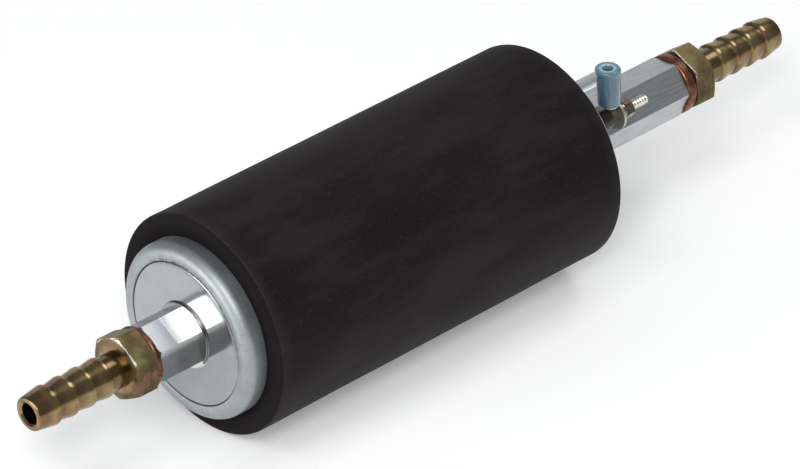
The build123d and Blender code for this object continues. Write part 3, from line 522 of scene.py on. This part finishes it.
def cover_metal():
    """Bright flat land, satin pillar and outlet boss grained lengthwise, inlet boss streaked across
    at its front, with two of its flats painted darker as dark reflections, a line of painted shade
    on its collar and painted shade at the top of the land's rim."""
    f = Finish("cover_metal")
    x, y, z = f.axes()
    radius = f.reach(y, z)
    grain = f.noise(0.3, 3.0, 0.6)
    broad = f.noise(4.0, 3.0, 0.6)
    blots = f.noise(0.8, 3.0, 0.65)
    streaks = f.noise(0.45, 3.0, 0.7, (0.4, 6.0, 6.0))
    lengthwise = f.noise(0.4, 3.0, 0.65, (16.0, 0.8, 0.8))

    outlet = f.band(x, 0.0, 1.0)
    land = f.band(radius, collar_radius + 0.1, collar_radius + 0.4)
    inlet_land = land * (1 - f.band(x, -case_end + 0.4, -case_end + 0.8))
    inlet_boss = (1 - land) * (1 - outlet)
    upper = upper_side(f, y, z, radius)
    land_edge = lip_radius - land_gap
    # painted shade: the land's outer rim is darker at its top, mottled by blots
    rim = f.band(radius, land_edge - land_round - 0.9, land_edge - 0.2) * upper
    # painted shade: a dark line round the top of the collar
    collar_shade_line = f.band(radius, collar_radius - 0.4, collar_radius - 0.3) * inlet_boss * upper
    front = 1 - f.band(x, inlet_face + 5.0, inlet_face + 5.4)
    flat_low, flat_high = boss_width / 2 - 0.14, boss_width / 2 - 0.06
    far_turn = radians(inlet_corner - 30)
    # painted dark reflections: the flat facing -Y and the upper flat facing +Y are darker
    dark_reflection_flat = inlet_boss * f.band(-1 * y, flat_low, flat_high)
    far_dark_reflection_flat = inlet_boss * f.band(-sin(far_turn) * y + cos(far_turn) * z, flat_low, flat_high)

    satin = f.mix(f.band(lengthwise, 0.3, 0.7), (0.38, 0.41, 0.425), (0.54, 0.57, 0.575))
    mirror = f.mix(broad, (0.36, 0.385, 0.39), (0.46, 0.48, 0.48))
    shade = f.mix(broad, (0.76, 0.76, 0.75), (0.88, 0.87, 0.85))
    shade = f.mix(front * (0.35 + 0.5 * streaks), shade, (0.46, 0.51, 0.57))
    shade = f.mix(dark_reflection_flat * (0.75 + 0.25 * broad), shade, (0.15, 0.16, 0.165))
    shade = f.mix(far_dark_reflection_flat * 0.8, shade, (0.20, 0.215, 0.23))
    shade = f.mix(collar_shade_line * 0.75, shade, (0.14, 0.14, 0.14))
    shade = f.mix(outlet * 0.9, shade, satin)
    shade = f.mix(inlet_land, shade, mirror)
    shade = f.mix(rim * (0.45 + 0.4 * blots), shade, (0.22, 0.225, 0.23))
    rough = 0.22 + 0.08 * grain + 0.16 * front + 0.14 * outlet - 0.11 * inlet_land + 0.12 * rim
    milled = streaks * front + lengthwise * outlet + grain * 0.3
    height = (1 - inlet_land) * milled * 0.9 + inlet_land * (grain * 0.25 + broad * 0.2)
    return f.surface(shade, rough, 1.0, height, 0.012)


def yellow_brass():
    """Yellow passivated turning: dull olive hexagon with reddish and greenish patches and a painted
    highlight along its top edges, and smoother golden barbs with painted shade in their valleys."""
    f = Finish("yellow_brass")
    x, y, z = f.axes()
    radius = f.reach(y, z)
    head = f.band(radius, 5.4, 6.4)
    patches = f.noise(5.0, 2.0, 0.5)
    tint = f.noise(3.2, 2.0, 0.5, (1.0, 1.6, 1.0))
    blush = f.noise(2.0, 2.0, 0.55)
    grain = f.noise(0.3, 3.0, 0.6)
    rings = (x * 14.0).sine()
    golden = f.ramp(patches, (0.30, (0.19, 0.135, 0.06)), (0.50, (0.34, 0.245, 0.12)),
                    (0.68, (0.22, 0.19, 0.09)))
    olive = f.ramp(patches, (0.34, (0.095, 0.070, 0.036)), (0.50, (0.135, 0.110, 0.050)),
                   (0.66, (0.18, 0.175, 0.067)))
    # painted shade: the barbs' valleys, behind their crests, are darker
    painted_trough_shade = f.band(radius, tail_bore + 1.2, tail_bore + 1.6) * (1 - f.band(radius, 4.30, 4.75))
    golden = f.mix(painted_trough_shade * 0.6, golden, (0.13, 0.085, 0.045))
    shade = f.mix(head, golden, olive)
    shade = f.mix(f.band(tint, 0.50, 0.68) * 0.75, shade, (0.24, 0.115, 0.072))
    shade = f.mix(f.band(blush, 0.58, 0.74) * 0.3, shade, (0.22, 0.26, 0.14))
    highlight_line_offset = 0.22             # where the hexagon's edge line lies, beside its face
    near_face = abs(x - (inlet_seat - tail_hex_length + highlight_line_offset))
    near_seat = abs(x - (outlet_seat + highlight_line_offset))
    edge = 2 - f.band(near_face, 0.10, 0.20) - f.band(near_seat, 0.10, 0.20)
    # painted highlight: a bright line, broken up by noise, along the hexagon's edges beside its
    # faces, on the top only
    corner = f.band(radius, 6.9, 7.1) * edge * f.band(z, 3.4, 4.2) * f.band(grain, 0.40, 0.52)
    shade = f.mix(corner * 0.8, shade, (0.85, 0.86, 0.80))
    rough = 0.19 + 0.08 * grain + 0.24 * head
    height = rings * 0.2 * (1 - head) + grain * 0.5
    return f.surface(shade, rough, 1.0, height, 0.010)


def copper():
    """Annealed copper with brown patches, darker on its faces than at its rim."""
    f = Finish("copper")
    rim = f.band(f.reach(*f.axes()[1:]), washer_radius - 1.0, washer_radius - 0.2)
    patches = f.noise(2.5, 3.0, 0.6)
    grain = f.noise(0.25, 3.0, 0.6)
    shade = f.mix(f.band(patches, 0.35, 0.65), (0.26, 0.115, 0.066), (0.10, 0.044, 0.030))
    shade = f.mix((1 - rim) * 0.6, shade, (0.08, 0.036, 0.028))
    return f.surface(shade, 0.30 + 0.14 * grain, 1.0, grain + patches, 0.012)


def plated_steel(name, dark, light, rough=0.22):
    """Plated steel with light wear and fine marks."""
    f = Finish(name)
    grain = f.noise(0.3, 3.0, 0.6)
    patches = f.noise(1.4, 3.0, 0.6)
    shade = f.mix(f.band(patches, 0.35, 0.7), light, dark)
    return f.surface(shade, rough + 0.14 * grain, 1.0, grain, 0.008)


def tinned_metal():
    """Tinned terminal: dull, slightly green-grey."""
    f = Finish("tinned_metal")
    grain = f.noise(0.4, 3.0, 0.6)
    patches = f.noise(1.8, 3.0, 0.6)
    shade = f.mix(patches, (0.40, 0.44, 0.38), (0.60, 0.63, 0.57))
    return f.surface(shade, 0.36 + 0.16 * grain, 1.0, grain + patches, 0.012)


def blue_sleeve():
    """Pale blue moulded sleeve with a smooth skin and whitish rim round its mouth."""
    f = Finish("blue_sleeve")
    x, y, z = f.axes()
    top = blue_foot + blue_length
    aside = x - barrel_spot[0] - (top - barrel_middle) * barrel_lean[0]
    away = y - barrel_spot[1] - (top - barrel_middle) * barrel_lean[1]
    rim = f.band(z, top - 0.3, top - 0.1) * (1 - f.band(f.reach(aside, away), 1.7, 2.2))
    broad = f.noise(2.4, 2.0, 0.5, (1.0, 1.0, 3.0))
    grain = f.noise(0.25, 2.0, 0.5)
    shade = f.mix(broad, (0.055, 0.135, 0.205), (0.115, 0.225, 0.30))
    shade = f.mix(f.band(z, top - flange_height, top - 0.3) * 0.35, shade, (0.16, 0.34, 0.43))
    shade = f.mix(rim * 0.7, shade, (0.55, 0.64, 0.68))
    height = broad + grain * 0.3
    return f.surface(shade, 0.16 + 0.08 * grain, 0.0, height, 0.012, Coat_Weight=0.6,
                     Coat_Roughness=0.06)


def moulding(name, dark, light, rough=0.45, size=1.5):
    """Moulded plastic with a fine grain and faint clouds."""
    f = Finish(name)
    clouds = f.noise(size, 3.0, 0.6)
    grain = f.noise(0.2, 3.0, 0.6)
    shade = f.mix(clouds, dark, light)
    return f.surface(shade, rough + 0.12 * grain, 0.0, grain + clouds * 0.4, 0.012)


def worked_metal(name, dark, light, rough=0.3, ring_size=0.5, size=3.0):
    """Metal with clouds of tone and fine marks round its axis."""
    f = Finish(name)
    clouds = f.noise(size, 3.0, 0.6)
    grain = f.noise(0.25, 3.0, 0.6)
    marks = (f.axes()[0] * (2 * pi / ring_size)).sine()
    height = grain * 0.6 + marks * 0.3
    return f.surface(f.mix(clouds, dark, light), rough + 0.14 * grain, 1.0, height, 0.008)


# The maker, the darker and the lighter colour of each plain finish, and what differs from usual
plain_finishes = {
    "plated_steel": (plated_steel, (0.50, 0.46, 0.40), (0.74, 0.71, 0.64)),
    "seal_rubber": (moulding, (0.015, 0.015, 0.015), (0.03, 0.03, 0.03), 0.5),
    "strainer_plastic": (moulding, (0.60, 0.56, 0.44), (0.72, 0.68, 0.56)),
    "insulator_plastic": (moulding, (0.014, 0.009, 0.008), (0.035, 0.022, 0.018), 0.25),
    "carrier_plastic": (moulding, (0.46, 0.42, 0.30), (0.58, 0.53, 0.40)),
    "magnet_ferrite": (moulding, (0.05, 0.05, 0.055), (0.09, 0.09, 0.10), 0.6),
    "carbon": (moulding, (0.035, 0.035, 0.038), (0.06, 0.06, 0.065), 0.5, 0.6),
    "pump_steel": (worked_metal, (0.38, 0.38, 0.39), (0.50, 0.50, 0.51)),
    "rotor_steel": (worked_metal, (0.28, 0.27, 0.26), (0.40, 0.39, 0.38), 0.42),
    "spring_steel": (worked_metal, (0.40, 0.40, 0.42), (0.52, 0.52, 0.54), 0.25, 0.9),
    "bearing_bronze": (worked_metal, (0.46, 0.30, 0.13), (0.60, 0.42, 0.20), 0.4),
    "core_steel": (worked_metal, (0.20, 0.20, 0.21), (0.32, 0.32, 0.33), 0.4, 0.5),
    "winding_copper": (worked_metal, (0.45, 0.17, 0.07), (0.62, 0.28, 0.12), 0.35, 0.7),
}
finishes = {
    "foam": foam(),
    "case_metal": case_metal(),
    "cover_metal": cover_metal(),
    "yellow_brass": yellow_brass(),
    "copper": copper(),
    "tinned_metal": tinned_metal(),
    "blue_sleeve": blue_sleeve(),
}
for slot_name, (make, *values) in plain_finishes.items():
    finishes[slot_name] = make(slot_name, *values)
nut_plating = plated_steel("nut_plating", (0.13, 0.09, 0.065), (0.36, 0.30, 0.25), 0.16)
stud_plating = plated_steel("stud_plating", (0.70, 0.67, 0.58), (0.88, 0.86, 0.78), 0.26)


def dress_nodes():
    """Gives every carried-over node the finish of its slot in the record."""
    slots = {part["node"]: part["material_slot"] for part in frame["record"]["subparts"]}
    for name, node in frame["nodes"].items():
        node.data.materials.clear()
        node.data.materials.append(finishes[slots[name]])


# Pieces

def foam_sleeve():
    """Sleeve whose radius sinks in places, by the part below zero of a sum of sines of the angle
    and of x, with softly rounded cut edges."""
    angle = angles(fine_columns)
    turn = np.radians(angle)
    skin_radius = sleeve_radius - foam_inset
    skin_end = sleeve_end - foam_inset
    corner = (skin_end - foam_edge, skin_radius - foam_edge)
    end_rows = [(skin_end, case_radius + clearance)] + arc_rows(corner, foam_edge, 0, 90, 6)
    rows = list(end_rows)
    for x in np.linspace(skin_end - foam_plain, -skin_end + foam_plain, foam_rows):
        wave = sum(high * np.sin(count * turn + x / long) for high, count, long in foam_swells)
        rows.append((x, skin_radius + np.minimum(wave, 0)))
    rows += [(-x, radius) for x, radius in reversed(end_rows)]
    piece("foam_sleeve_skin", [ring_patch(rows, angle)], "foam", ["foam_sleeve"])


def case_tube():
    """Tube of even wall whose ends curl over the covers to a softly rounded lip."""
    centre = (case_end - roll_radius, case_radius - roll_radius)
    outer = arc_rows(centre, roll_radius, 90, roll_end, 14)
    lip = arc_rows((case_end - lip_round, lip_radius + lip_round), lip_round, 0, -90, 4)
    inner = arc_rows(centre, roll_radius - case_wall, 0, 90, 8)
    half = outer + lip + [(case_end - case_wall, lip_radius)] + inner
    rows = half + [(-x, radius) for x, radius in reversed(half)]
    piece("case_shell", [ring_patch(rows, angles(fine_columns))], "case_metal", ["case_tube"])


def hex_end(angle, width, corner, face, chamfer, direction):
    """Rows where a hexagon ends in a face: a cone cuts its corners down, so its edge runs in
    arcs."""
    radius = hexagon(angle, width, corner)
    circle = width / sqrt(3) - chamfer
    drop = np.maximum(radius - circle, 0) / sqrt(3)
    return [(face - direction * drop, radius), (face, np.minimum(radius, circle))]


def land_rows(end):
    """Rows of a cover from its back, under the curled lip, up to its flat land and in to its
    end."""
    centre = (case_end - roll_radius, case_radius - roll_radius)
    edge = (land_face - land_round, lip_radius - land_gap - land_round)
    under = roll_radius - case_wall - curl_clearance
    rows = [(cover_back, centre[1] + under)] + arc_rows(centre, under, 90, 0, 7)
    rows += [(centre[0] + under, lip_radius - land_gap)] + arc_rows(edge, land_round, 90, 0, 8)
    return rows + [(land_face, radius) for radius in (*land_rings, end)]


def inlet_cover():
    """Cover with flat land, thin round collar and the inlet boss, made facing +X and mirrored."""
    angle = angles(columns, inlet_corner)
    radius = hexagon(angle, boss_width, inlet_corner)
    face = -inlet_face
    floor_x = face - port_depth
    front = land_face + collar_thickness
    collar = (front - collar_round, collar_radius - collar_round)
    rows = [(cover_back, inlet_bore_radius)] + land_rows(collar_radius + collar_foot)
    rows += [(land_face + collar_foot, collar_radius)] + arc_rows(collar, collar_round, 90, 0, 4)
    rows += [(front, radius)] + hex_end(angle, boss_width, inlet_corner, face, boss_chamfer, 1)
    rows += [(face, port_radius), (floor_x, port_radius), (floor_x, inlet_bore_radius)]
    patch = mirrored(ring_patch(rows, angle))
    piece("inlet_cover_body", [patch], "cover_metal", ["inlet_cover"], cover_edge)


def outlet_cover():
    """Cover with its long boss, bored for the valve, and the earth pillar beside it."""
    angle = angles(columns, outlet_corner)
    radius = hexagon(angle, boss_width, outlet_corner)
    floor_x = outlet_face + outlet_setback - port_depth
    rows = [(cover_back, throat_radius)] + land_rows(radius + boss_foot)
    rows += [(land_face + boss_foot, radius)]
    rows += hex_end(angle, boss_width, outlet_corner, outlet_face, boss_chamfer, 1)
    rows += [(outlet_face, port_radius), (floor_x, port_radius), (floor_x, valve_bore_radius)]
    rows += [(valve_start, valve_bore_radius), (valve_start, throat_radius)]
    root = land_face - pillar_root
    hole = earth_screw_radius + clearance
    pillar = [(root, earth_screw_radius), (root, pillar_radius)]
    pillar += [(land_face + sliver, pillar_radius + pillar_foot)]
    pillar += [(land_face + pillar_foot, pillar_radius), (pillar_top - pillar_edge, pillar_radius)]
    pillar += [(pillar_top, pillar_radius - pillar_edge), (pillar_top, hole), (root + sliver, hole)]
    patches = [ring_patch(rows, angle), ring_patch(pillar, angles(nut_columns), pillar_spot)]
    piece("outlet_cover_body", patches, "cover_metal", ["outlet_cover"], cover_edge)


def outlet_washer():
    """Crushed copper washer with well rounded edges."""
    hole = port_radius + clearance
    rounded = washer_radius - washer_round
    rows = [(outlet_face, hole)]
    rows += arc_rows((outlet_face + washer_round, rounded), washer_round, 180, 90, 6)
    rows += arc_rows((outlet_seat - washer_round, rounded), washer_round, 90, 0, 6)
    rows.append((outlet_seat, hole))
    piece("outlet_washer_ring", [ring_patch(rows, angles(columns))], "copper", ["outlet_washer"])


def slotted_patch(start, top):
    """Screw head with a slot: the columns over the slot keep to its edges at each radius and stop
    at its floor, and the others run over the rounded top. The slot's half angle is asin(half its
    width / radius)."""
    floor_x = top - earth_slot
    corner = (top - earth_head_round, earth_head_radius - earth_head_round)
    rows = [(start, earth_screw_radius), (start, earth_head_radius), (floor_x, earth_head_radius)]
    rows += arc_rows(corner, earth_head_round, 90, 0, 5)
    rows += [(top, earth_head_ring), (top, earth_slot / 2 + sliver)]
    x, radius = np.array(rows).T
    half = np.degrees(np.arcsin(np.clip(earth_slot / 2 / radius, 0, 1)))[:, None]
    across = half * np.linspace(-1, 1, slot_columns[0])
    beside = half + np.linspace(0, 1, slot_columns[1]) * (180 - 2 * half)
    angle = np.hstack([across, beside, 180 + across, 180 + beside])
    in_slot = np.tile(np.repeat([True, False], slot_columns), 2)
    height = np.where(in_slot, np.minimum(x, floor_x)[:, None], x[:, None])
    points = turned(height, radius[:, None], angle, pillar_spot).reshape(-1, 3)
    poles = np.array([[pole, -pillar_spot[1], pillar_spot[0]] for pole in (floor_x, start)])
    count, width = angle.shape
    faces = [tuple(face) for face in grid_faces(count, width, False)]
    ring = np.arange(width)
    for pole, first in ((len(points), (count - 1) * width), (len(points) + 1, 0)):
        faces += [(first + a, first + b, pole) for a, b in zip(ring, np.roll(ring, -1))]
    return np.vstack([points, poles]), faces


def earth_screw():
    """Slotted screw with its washer on the earth pillar."""
    angle = angles(screw_columns)
    seat = pillar_top + earth_washer_thickness
    foot = pillar_top - earth_screw_length
    hole = earth_screw_radius + clearance
    shank = [(foot, sliver), (foot, earth_screw_radius), (seat, earth_screw_radius), (seat, sliver)]
    head = slotted_patch(seat, seat + earth_head_height)
    patches = [ring_patch(shank, angle, pillar_spot), head]
    piece("earth_screw_slotted", patches, "plated_steel", ["earth_screw"], edge=0.05)
    washer = [(pillar_top, hole), (pillar_top, earth_washer_radius), (seat, earth_washer_radius),
              (seat, hole)]
    patch = ring_patch(washer, angle, pillar_spot)
    piece("earth_washer_plain", [patch], "plated_steel", ["earth_washer"], edge=0.1)


def tail_rows(angle, seat, corner, first_barb, spigot):
    """Rows of a hose tail facing +X: spigot, hexagon, barbs and mouth, and back by its bore."""
    face = seat + tail_hex_length
    tip = face + first_barb + (barb_count - 1) * barb_pitch + tail_nose
    rows = [(spigot, tail_bore), (spigot, spigot_radius - mouth_chamfer)]
    rows += [(spigot + mouth_chamfer, spigot_radius), (seat, spigot_radius)]
    rows += hex_end(angle, tail_width, corner, seat, tail_chamfer / 2, -1)[::-1]
    rows += hex_end(angle, tail_width, corner, face, tail_chamfer, 1)
    rows.append((face, neck_radius))
    for index in range(barb_count):
        start = face + first_barb + index * barb_pitch - barb_land / 2
        foot = valley_radius if index else neck_radius
        rows += [(start - barb_back, foot), (start, crest_radius - crest_ease)]
        rows += [(start + crest_step, crest_radius), (start + barb_land, crest_radius - crest_fall)]
        if index < barb_count - 1:
            rows.append((start + barb_pitch - barb_back - barb_land / 2, valley_radius))
    rows += arc_rows((tip - tip_round, tip_radius - tip_round), tip_round, 90, 0, 5)
    rows += [(tip, tail_bore + mouth_chamfer), (tip - mouth_chamfer, tail_bore)]
    return rows


def hose_tails():
    """Both tails: the outlet's hexagon stands a little turned, and the inlet's is made facing +X
    and mirrored."""
    angle = angles(columns, outlet_tail_corner)
    rows = tail_rows(angle, outlet_seat, outlet_tail_corner, outlet_barb_first, outlet_spigot_end)
    piece("outlet_tail", [ring_patch(rows, angle)], "yellow_brass", ["outlet_hose_tail"], edge=0.16)
    angle = angles(columns)
    rows = tail_rows(angle, -inlet_seat, 0.0, inlet_barb_first, -inlet_spigot_end)
    patch = mirrored(ring_patch(rows, angle))
    piece("inlet_tail", [patch], "yellow_brass", ["inlet_hose_tail"], edge=0.16)


def insulating_bush():
    """Stepped bush round the stud, its neck through the cover."""
    bore = stud_radius + clearance
    corner = (bush_end - bush_round, bush_radius - bush_round)
    rows = [(cover_back, bore), (cover_back, bush_neck_radius)]
    rows += [(land_face, bush_neck_radius), (land_face, bush_radius)]
    rows += arc_rows(corner, bush_round, 90, 0, 4)
    rows.append((bush_end, bore))
    patch = ring_patch(rows, angles(bush_columns), stud_spot)
    piece("terminal_bush", [patch], "insulator_plastic", ["terminal_insulator"])


def nut_rows(angle, start, end):
    """Rows of a nut with both faces chamfered and its hole countersunk."""
    bore = stud_radius + clearance
    rows = [(start, bore)] + hex_end(angle, nut_width, nut_corner, start, nut_chamfer, -1)[::-1]
    rows += hex_end(angle, nut_width, nut_corner, end, nut_chamfer, 1)
    return rows + [(end, bore + nut_countersink), (end - nut_countersink, bore)]


def stud_nuts():
    """Base nut and outer nut of the terminal."""
    angle = angles(nut_columns, nut_corner)
    for name, start in (("terminal_base_nut", bush_end), ("terminal_nut", outer_nut_start)):
        patch = ring_patch(nut_rows(angle, start, start + nut_thickness), angle, stud_spot)
        piece(name + "_body", [patch], "plated_steel", [name], edge=0.08, finish=nut_plating)


def terminal_stud():
    """Stud with its thread: the radius falls and rises with the distance along the helix."""
    angle = angles(screw_columns)
    head_end = stud_start + stud_head_thickness
    thread_start = bush_end - thread_lead
    rows = [(stud_start, sliver), (stud_start, stud_head_radius), (head_end, stud_head_radius)]
    rows += [(head_end, stud_radius), (thread_start, stud_radius)]
    steps = int((stud_tip - thread_start) / thread_pitch * thread_rows)
    for x in np.linspace(thread_start + thread_first_row, stud_tip, steps):
        phase = (x / thread_pitch - angle / 360) % 1
        ridge = np.clip((1 - np.abs(2 * phase - 1)) * thread_steepness - thread_root, 0, 1)
        full = np.clip((stud_tip - x) / stud_taper_length, 0, 1)
        radius = stud_radius - thread_depth * (1 - ridge)
        rows.append((x, np.minimum(radius, stud_radius - stud_taper * (1 - full))))
    rows.append((stud_tip, sliver))
    patch = ring_patch(rows, angle, stud_spot)
    piece("terminal_stud_thread", [patch], "plated_steel", ["terminal_stud"], finish=stud_plating)


def spring_washer():
    """Split washer: a rectangle carried round the stud, its ends a little apart."""
    half_gap = spring_washer_gap / 2
    angle = np.linspace(half_gap, 360 - half_gap, spring_washer_steps) + spring_washer_turn
    inner, outer = stud_radius + spring_washer_clearance, spring_washer_radius
    low, high = ring_front + spring_washer_play, outer_nut_start - spring_washer_play
    x, radius = np.array([(low, inner), (high, inner), (high, outer), (low, outer)]).T
    x = np.tile(x, (spring_washer_steps, 1))
    sections = turned(x, radius[None, :], angle[:, None], stud_spot)
    piece("spring_washer_coil", [tube_patch(sections)], "plated_steel", ["terminal_spring_washer"],
          edge=0.06, finish=nut_plating)


def strip_patch(path, width, side):
    """Flat strip of even thickness along a path in the XZ plane, its section square to the path."""
    along = np.gradient(path, axis=0)
    along /= np.linalg.norm(along, axis=1)[:, None]
    out = np.stack([along[:, 1], -along[:, 0]], axis=-1) * tongue_thickness / 2
    sections = []
    for offset, y in ((1, -1), (1, 1), (-1, 1), (-1, -1)):
        edge = path + offset * out
        level = np.full(len(path), side + y * width / 2)
        sections.append(np.stack([edge[:, 0], level, edge[:, 1]], axis=-1))
    return tube_patch(np.stack(sections, axis=1))


def upright_patch(rows, angle):
    """Closed solid on the barrel's axis: a row is a height and a radius, x is the axis's plus
    radius * cos(angle), y the axis's plus radius * sin(angle), and the axis leans with height."""
    height, radius = spread(rows, angle)
    turn = np.radians(angle)
    rise = height - barrel_middle
    x = barrel_spot[0] + radius * np.cos(turn) + rise * barrel_lean[0]
    y = barrel_spot[1] + radius * np.sin(turn) + rise * barrel_lean[1]
    points = np.stack([x, y, height], axis=-1)
    return points.reshape(-1, 3), grid_faces(len(rows), len(angle), True)


def ring_terminal():
    """Ring on the stud, tongue bent over towards the barrel, and the barrel with its seam."""
    hole = stud_radius + ring_play
    rows = [(ring_back, hole), (ring_back, ring_radius), (ring_front, ring_radius),
            (ring_front, hole)]
    ring = ring_patch(rows, angles(nut_columns), stud_spot)
    middle = (ring_back + ring_front) / 2
    top = barrel_foot - tongue_thickness / 2
    bend = arc_rows((middle - tongue_bend, top - tongue_bend), tongue_bend, 0, 90, 8)
    start = (middle, stud_spot[0] + ring_radius * 0.7)
    path = np.array([start, *bend, (barrel_spot[0] - tongue_end, top)])
    tongue = strip_patch(path, tongue_width, -stud_spot[1])
    turn = angles(screw_columns)
    outside = barrel_radius - barrel_seam * np.exp(-(((turn - 180) / barrel_seam_width) ** 2))
    sole = barrel_foot - tongue_thickness
    rows = [(sole, barrel_drain), (sole, barrel_radius), (barrel_foot, outside)]
    rows += [(barrel_top - barrel_edge, outside), (barrel_top, outside - barrel_edge)]
    rows += [(barrel_top, barrel_bore + barrel_mouth), (barrel_top - barrel_mouth, barrel_bore)]
    rows += [(barrel_foot, barrel_bore), (barrel_foot, barrel_drain)]
    patches = [ring, tongue, upright_patch(rows, turn)]
    piece("ring_terminal_formed", patches, "tinned_metal", ["ring_terminal"], edge=0.07)


def blue_terminal_sleeve():
    """Insulating sleeve pushed over the barrel, with a rounded flange and a cone into the wire's
    hole at its top."""
    low, high = blue_foot, blue_foot + blue_length
    inner = barrel_radius + clearance
    step = high - flange_height
    shoulder = barrel_top + blue_shoulder_gap
    flange = (high - flange_round, flange_radius - flange_round)
    rows = [(low, inner), (low, blue_radius - blue_foot_edge), (low + blue_foot_edge, blue_radius)]
    rows += [(step - blue_flare_length, blue_radius - blue_ease)]
    rows += [(step, blue_radius + blue_flare), (step + blue_step, flange_radius - blue_ease)]
    rows += arc_rows(flange, flange_round, 90, 0, 7)
    rows += [(high - blue_ease, blue_mouth_radius + blue_mouth_edge)]
    rows += [(high - blue_mouth_lead, blue_mouth_radius), (high - blue_mouth_depth, barrel_bore)]
    rows += [(shoulder, barrel_bore), (shoulder, inner)]
    patch = upright_patch(rows, angles(nut_columns))
    piece("terminal_sleeve_moulded", [patch], "blue_sleeve", ["terminal_sleeve"])


# Stage, in metres

camera_aim = (0.0212, 0.0142, -0.0158)
camera_distance = 1.3358
camera_azimuth = 43.3646
camera_elevation = 33.1191
camera_lens = 256.9224
floor_size = 6.0
floor_glow = 0.25
room_colour = (0.94, 0.97, 1.0, 1.0)
room_strength = 0.26
lamps = (                    # name, place, point it faces, size and watts
    ("main", (-0.86, -0.74, 1.00), (0, 0, 0), (0.48, 0.48), 10.0),
    ("upper_left", (-0.88, -0.18, 1.24), (0, 0, 0), (0.60, 0.60), 4.5),
    ("left_panel", (-1.40, 0.46, 0.14), (0, 0, 0.02), (0.60, 0.28), 8.5),
    ("over_outlet", (0.84, -0.12, 1.16), (0, 0, 0), (0.60, 0.50), 3.4),
    ("low_panel", (0.86, 1.12, 0.50), (0, 0, 0), (1.2, 0.8), 1.8),
)


def camera():
    """Camera at the photograph's angle."""
    lens = bpy.data.cameras.new("camera")
    lens.lens = camera_lens
    lens.clip_end = 20
    holder = bpy.data.objects.new("camera", lens)
    turn = Euler((radians(90 - camera_elevation), 0, radians(-camera_azimuth)))
    holder.rotation_euler = turn
    holder.location = Vector(camera_aim) + turn.to_matrix() @ Vector((0, 0, camera_distance))
    bpy.context.scene.collection.objects.link(holder)
    bpy.context.scene.camera = holder


def floor():
    """Plain pale floor under the sleeve. It glows only to the camera and in reflections, where it
    comes out white."""
    f = Finish("floor")
    seen = f.node("LightPath", output="Is Camera Ray") + f.node("LightPath", output="Is Glossy Ray")
    seen = f.clamp(seen + f.node("LightPath", output="Is Transmission Ray"))
    glow = f.mix(seen, (0.0, 0.0, 0.0), (floor_glow, floor_glow, floor_glow))
    f.surface((0.92, 0.92, 0.92), 0.9, Emission_Color=glow, Emission_Strength=1.0)
    half = floor_size / 2
    level = -sleeve_radius * MM
    corners = [(x * half, y * half, level) for x, y in ((-1, -1), (1, -1), (1, 1), (-1, 1))]
    mesh = bpy.data.meshes.new("floor")
    mesh.from_pydata(corners, [], [(0, 1, 2, 3)])
    mesh.materials.append(f.material)
    ground = bpy.data.objects.new("floor", mesh)
    bpy.context.scene.collection.objects.link(ground)


def softbox(name, place, aim, size, power):
    """Rectangular lamp turned towards a point."""
    lamp = bpy.data.lights.new(name, "AREA")
    lamp.shape = "RECTANGLE"
    lamp.size, lamp.size_y = size
    lamp.energy = power
    holder = bpy.data.objects.new(name, lamp)
    holder.location = place
    holder.rotation_euler = (Vector(aim) - Vector(place)).to_track_quat("-Z", "Y").to_euler()
    bpy.context.scene.collection.objects.link(holder)


def studio():
    """Main lamp up and left of the camera, lamps over both ends and at both sides, pale room."""
    for lamp in lamps:
        softbox(*lamp)
    world = bpy.data.worlds.new("room")
    world.use_nodes = True
    background = world.node_tree.nodes["Background"]
    background.inputs["Color"].default_value = room_colour
    background.inputs["Strength"].default_value = room_strength
    bpy.context.scene.world = world


dress_nodes()
foam_sleeve()
case_tube()
inlet_cover()
outlet_cover()
outlet_washer()
earth_screw()
hose_tails()
insulating_bush()
stud_nuts()
terminal_stud()
spring_washer()
ring_terminal()
blue_terminal_sleeve()
camera()
floor()
studio()
bpy.context.scene.view_settings.view_transform = "Standard"
